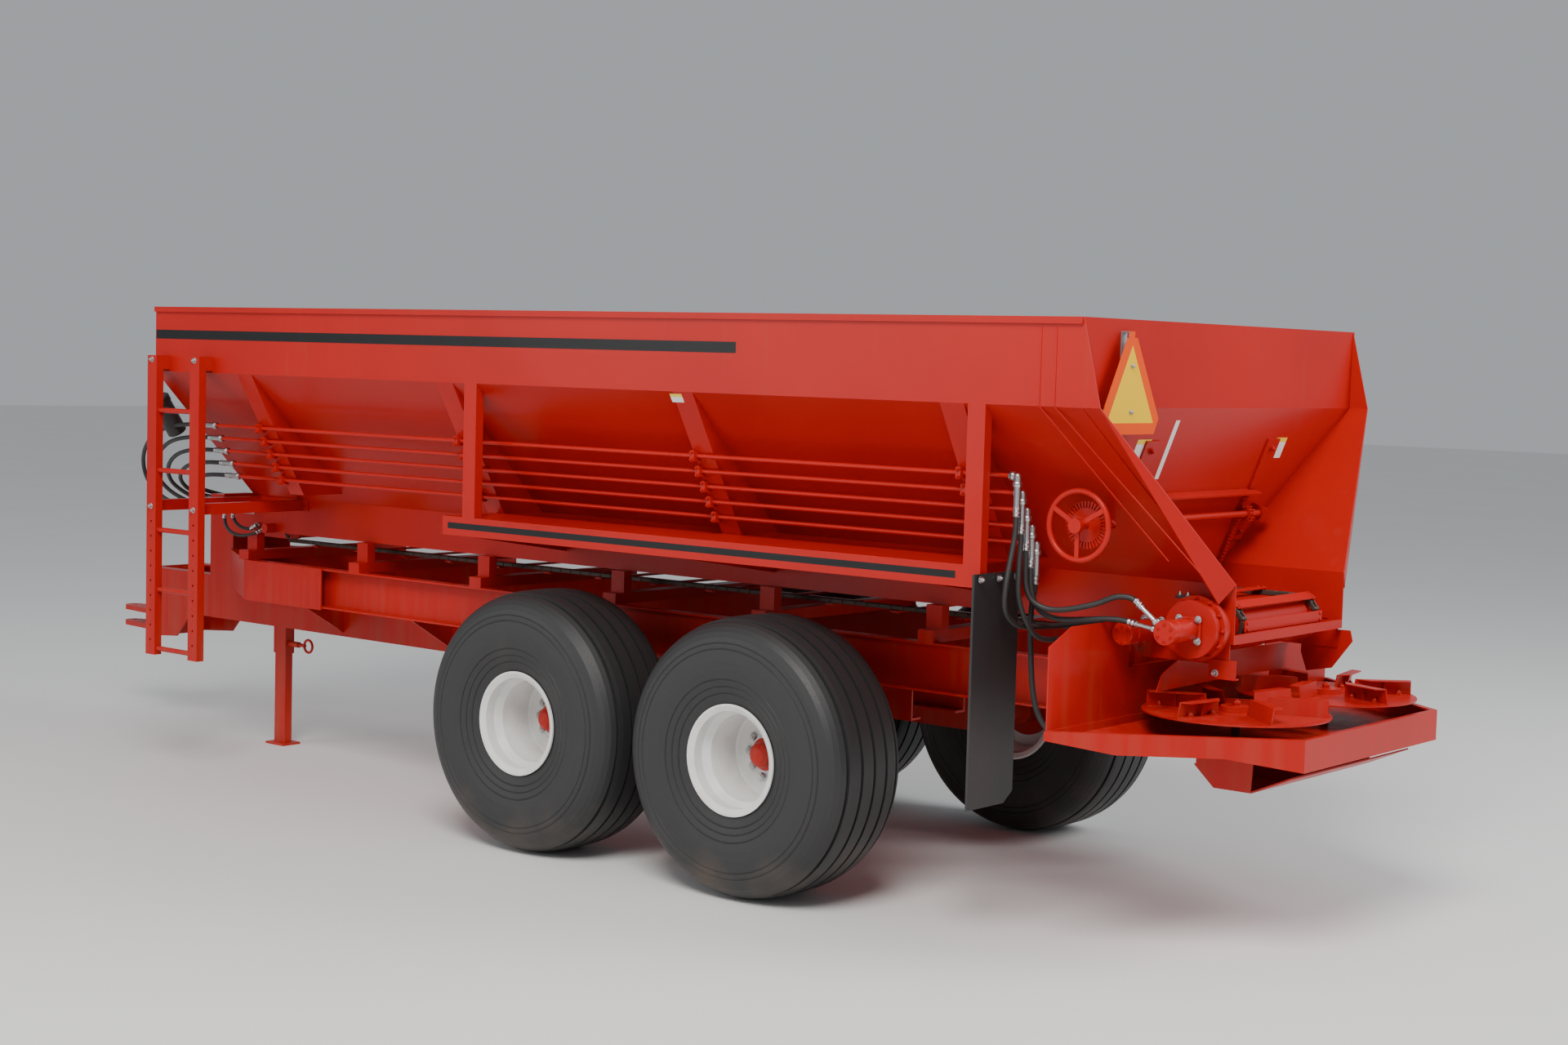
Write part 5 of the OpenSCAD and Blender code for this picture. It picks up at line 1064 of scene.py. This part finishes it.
# %% [markdown]
# ### Side label
# One small label lies on the left side's slope, just under the bend, with a yellow strip at its top.

# %% Side label
RISE, SPREAD = BEND_Z - SLOPE_FOOT_Z, WALL_Y - SLOPE_FOOT_Y
SLOPE_OUT, SLOPE_UP = Vector((0, RISE, -SPREAD)).normalized(), Vector((0, SPREAD, RISE)).normalized()
side_spot = at(-151, 1067, 2018) + SLOPE_OUT * 0.0002
edge_spot = side_spot + SLOPE_UP * 0.013 + SLOPE_OUT * 0.0003
label("side_label", 0.066, 0.040, wall_frame(side_spot, SLOPE_OUT, SLOPE_UP), white_vinyl)
label("side_label_edge", 0.066, 0.014, wall_frame(edge_spot, SLOPE_OUT, SLOPE_UP), yellow_vinyl)

# %% [markdown]
# ## Weld beads
# The side's sheet and the wing's sheet meet behind the last rib. The real seam is a lap with a bead along
# each edge, which runs down the upright wall and then slants back over the slope. Each bead is a low bar
# with a rounded top, half sunk in the sheet, placed from the two ends of its line.

# %% Weld beads
BEAD_WIDE, BEAD_HIGH, WALL_TOP = 0.006, 0.004, 2335


def bead(name, start, end, outward):
    master = cuboid(name + "_master", (BEAD_WIDE, (end - start).length, BEAD_HIGH), (0, 0, 0), 0.0018, 2)
    copy_to(master, [wall_frame((start + end) / 2, outward, end - start)], name, "chassis", red)
    discard(master)


for number, (wall_x, foot_x, foot_z) in enumerate(((-1950, -2334, 1488), (-2016, -2454, 1455)), 1):
    bend = at(wall_x, WALL_Y, BEND_Z)
    bead("seam_wall_%d" % number, bend, at(wall_x, WALL_Y, WALL_TOP), LEFT)
    foot = at(foot_x, WALL_Y - (BEND_Z - foot_z) * SPREAD / RISE, foot_z)
    bead("seam_slope_%d" % number, bend, foot, SLOPE_OUT)

# %% [markdown]
# ## Last small parts
# A valve stem for each tyre, a bracket under the left side of the spinner's chute, and the black tube
# for papers beside the ladder: each is two turned bars or two plates joined together.

# %% Last small parts
VALVE_X, VALVE_DROP = 120, 125
for end, wheel_x in AXLES:
    for side, sign in SIDES:
        x, z = wheel_x - VALVE_X, WHEEL_Z - VALVE_DROP
        stem = join([round_bar("stem", 0.0045, 0.050, at(x, sign * 975, z), LEFT, 10),
                     round_bar("cap", 0.0065, 0.014, at(x, sign * 1000, z), LEFT, 10)])
        finish_piece(stem, "valve_%s_%s" % (end, side), "wheel_%s_%s" % (end, side), finishes["black_rubber"])

bracket = join([cuboid("plate", (0.115, 0.006, 0.075), at(-2398, 453.5, 1068), 0.001),
                cuboid("foot", (0.115, 0.030, 0.006), at(-2398, 442, 1034), 0.001)])
finish_piece(bracket, "deflector_bracket", "chassis", red)
paper_top, paper_foot = at(3520, 1010, 1905), at(3520, 890, 1725)
paper_axis = paper_top - paper_foot
lean = paper_axis.normalized()
tube = join([round_bar("tube", 0.050, paper_axis.length, (paper_top + paper_foot) / 2, lean, 32, 0.004),
             round_bar("lid", 0.054, 0.040, paper_top - lean * 0.018, lean, 32, 0.006)])
finish_piece(tube, "paper_tube", "chassis", finishes["black_rubber"])
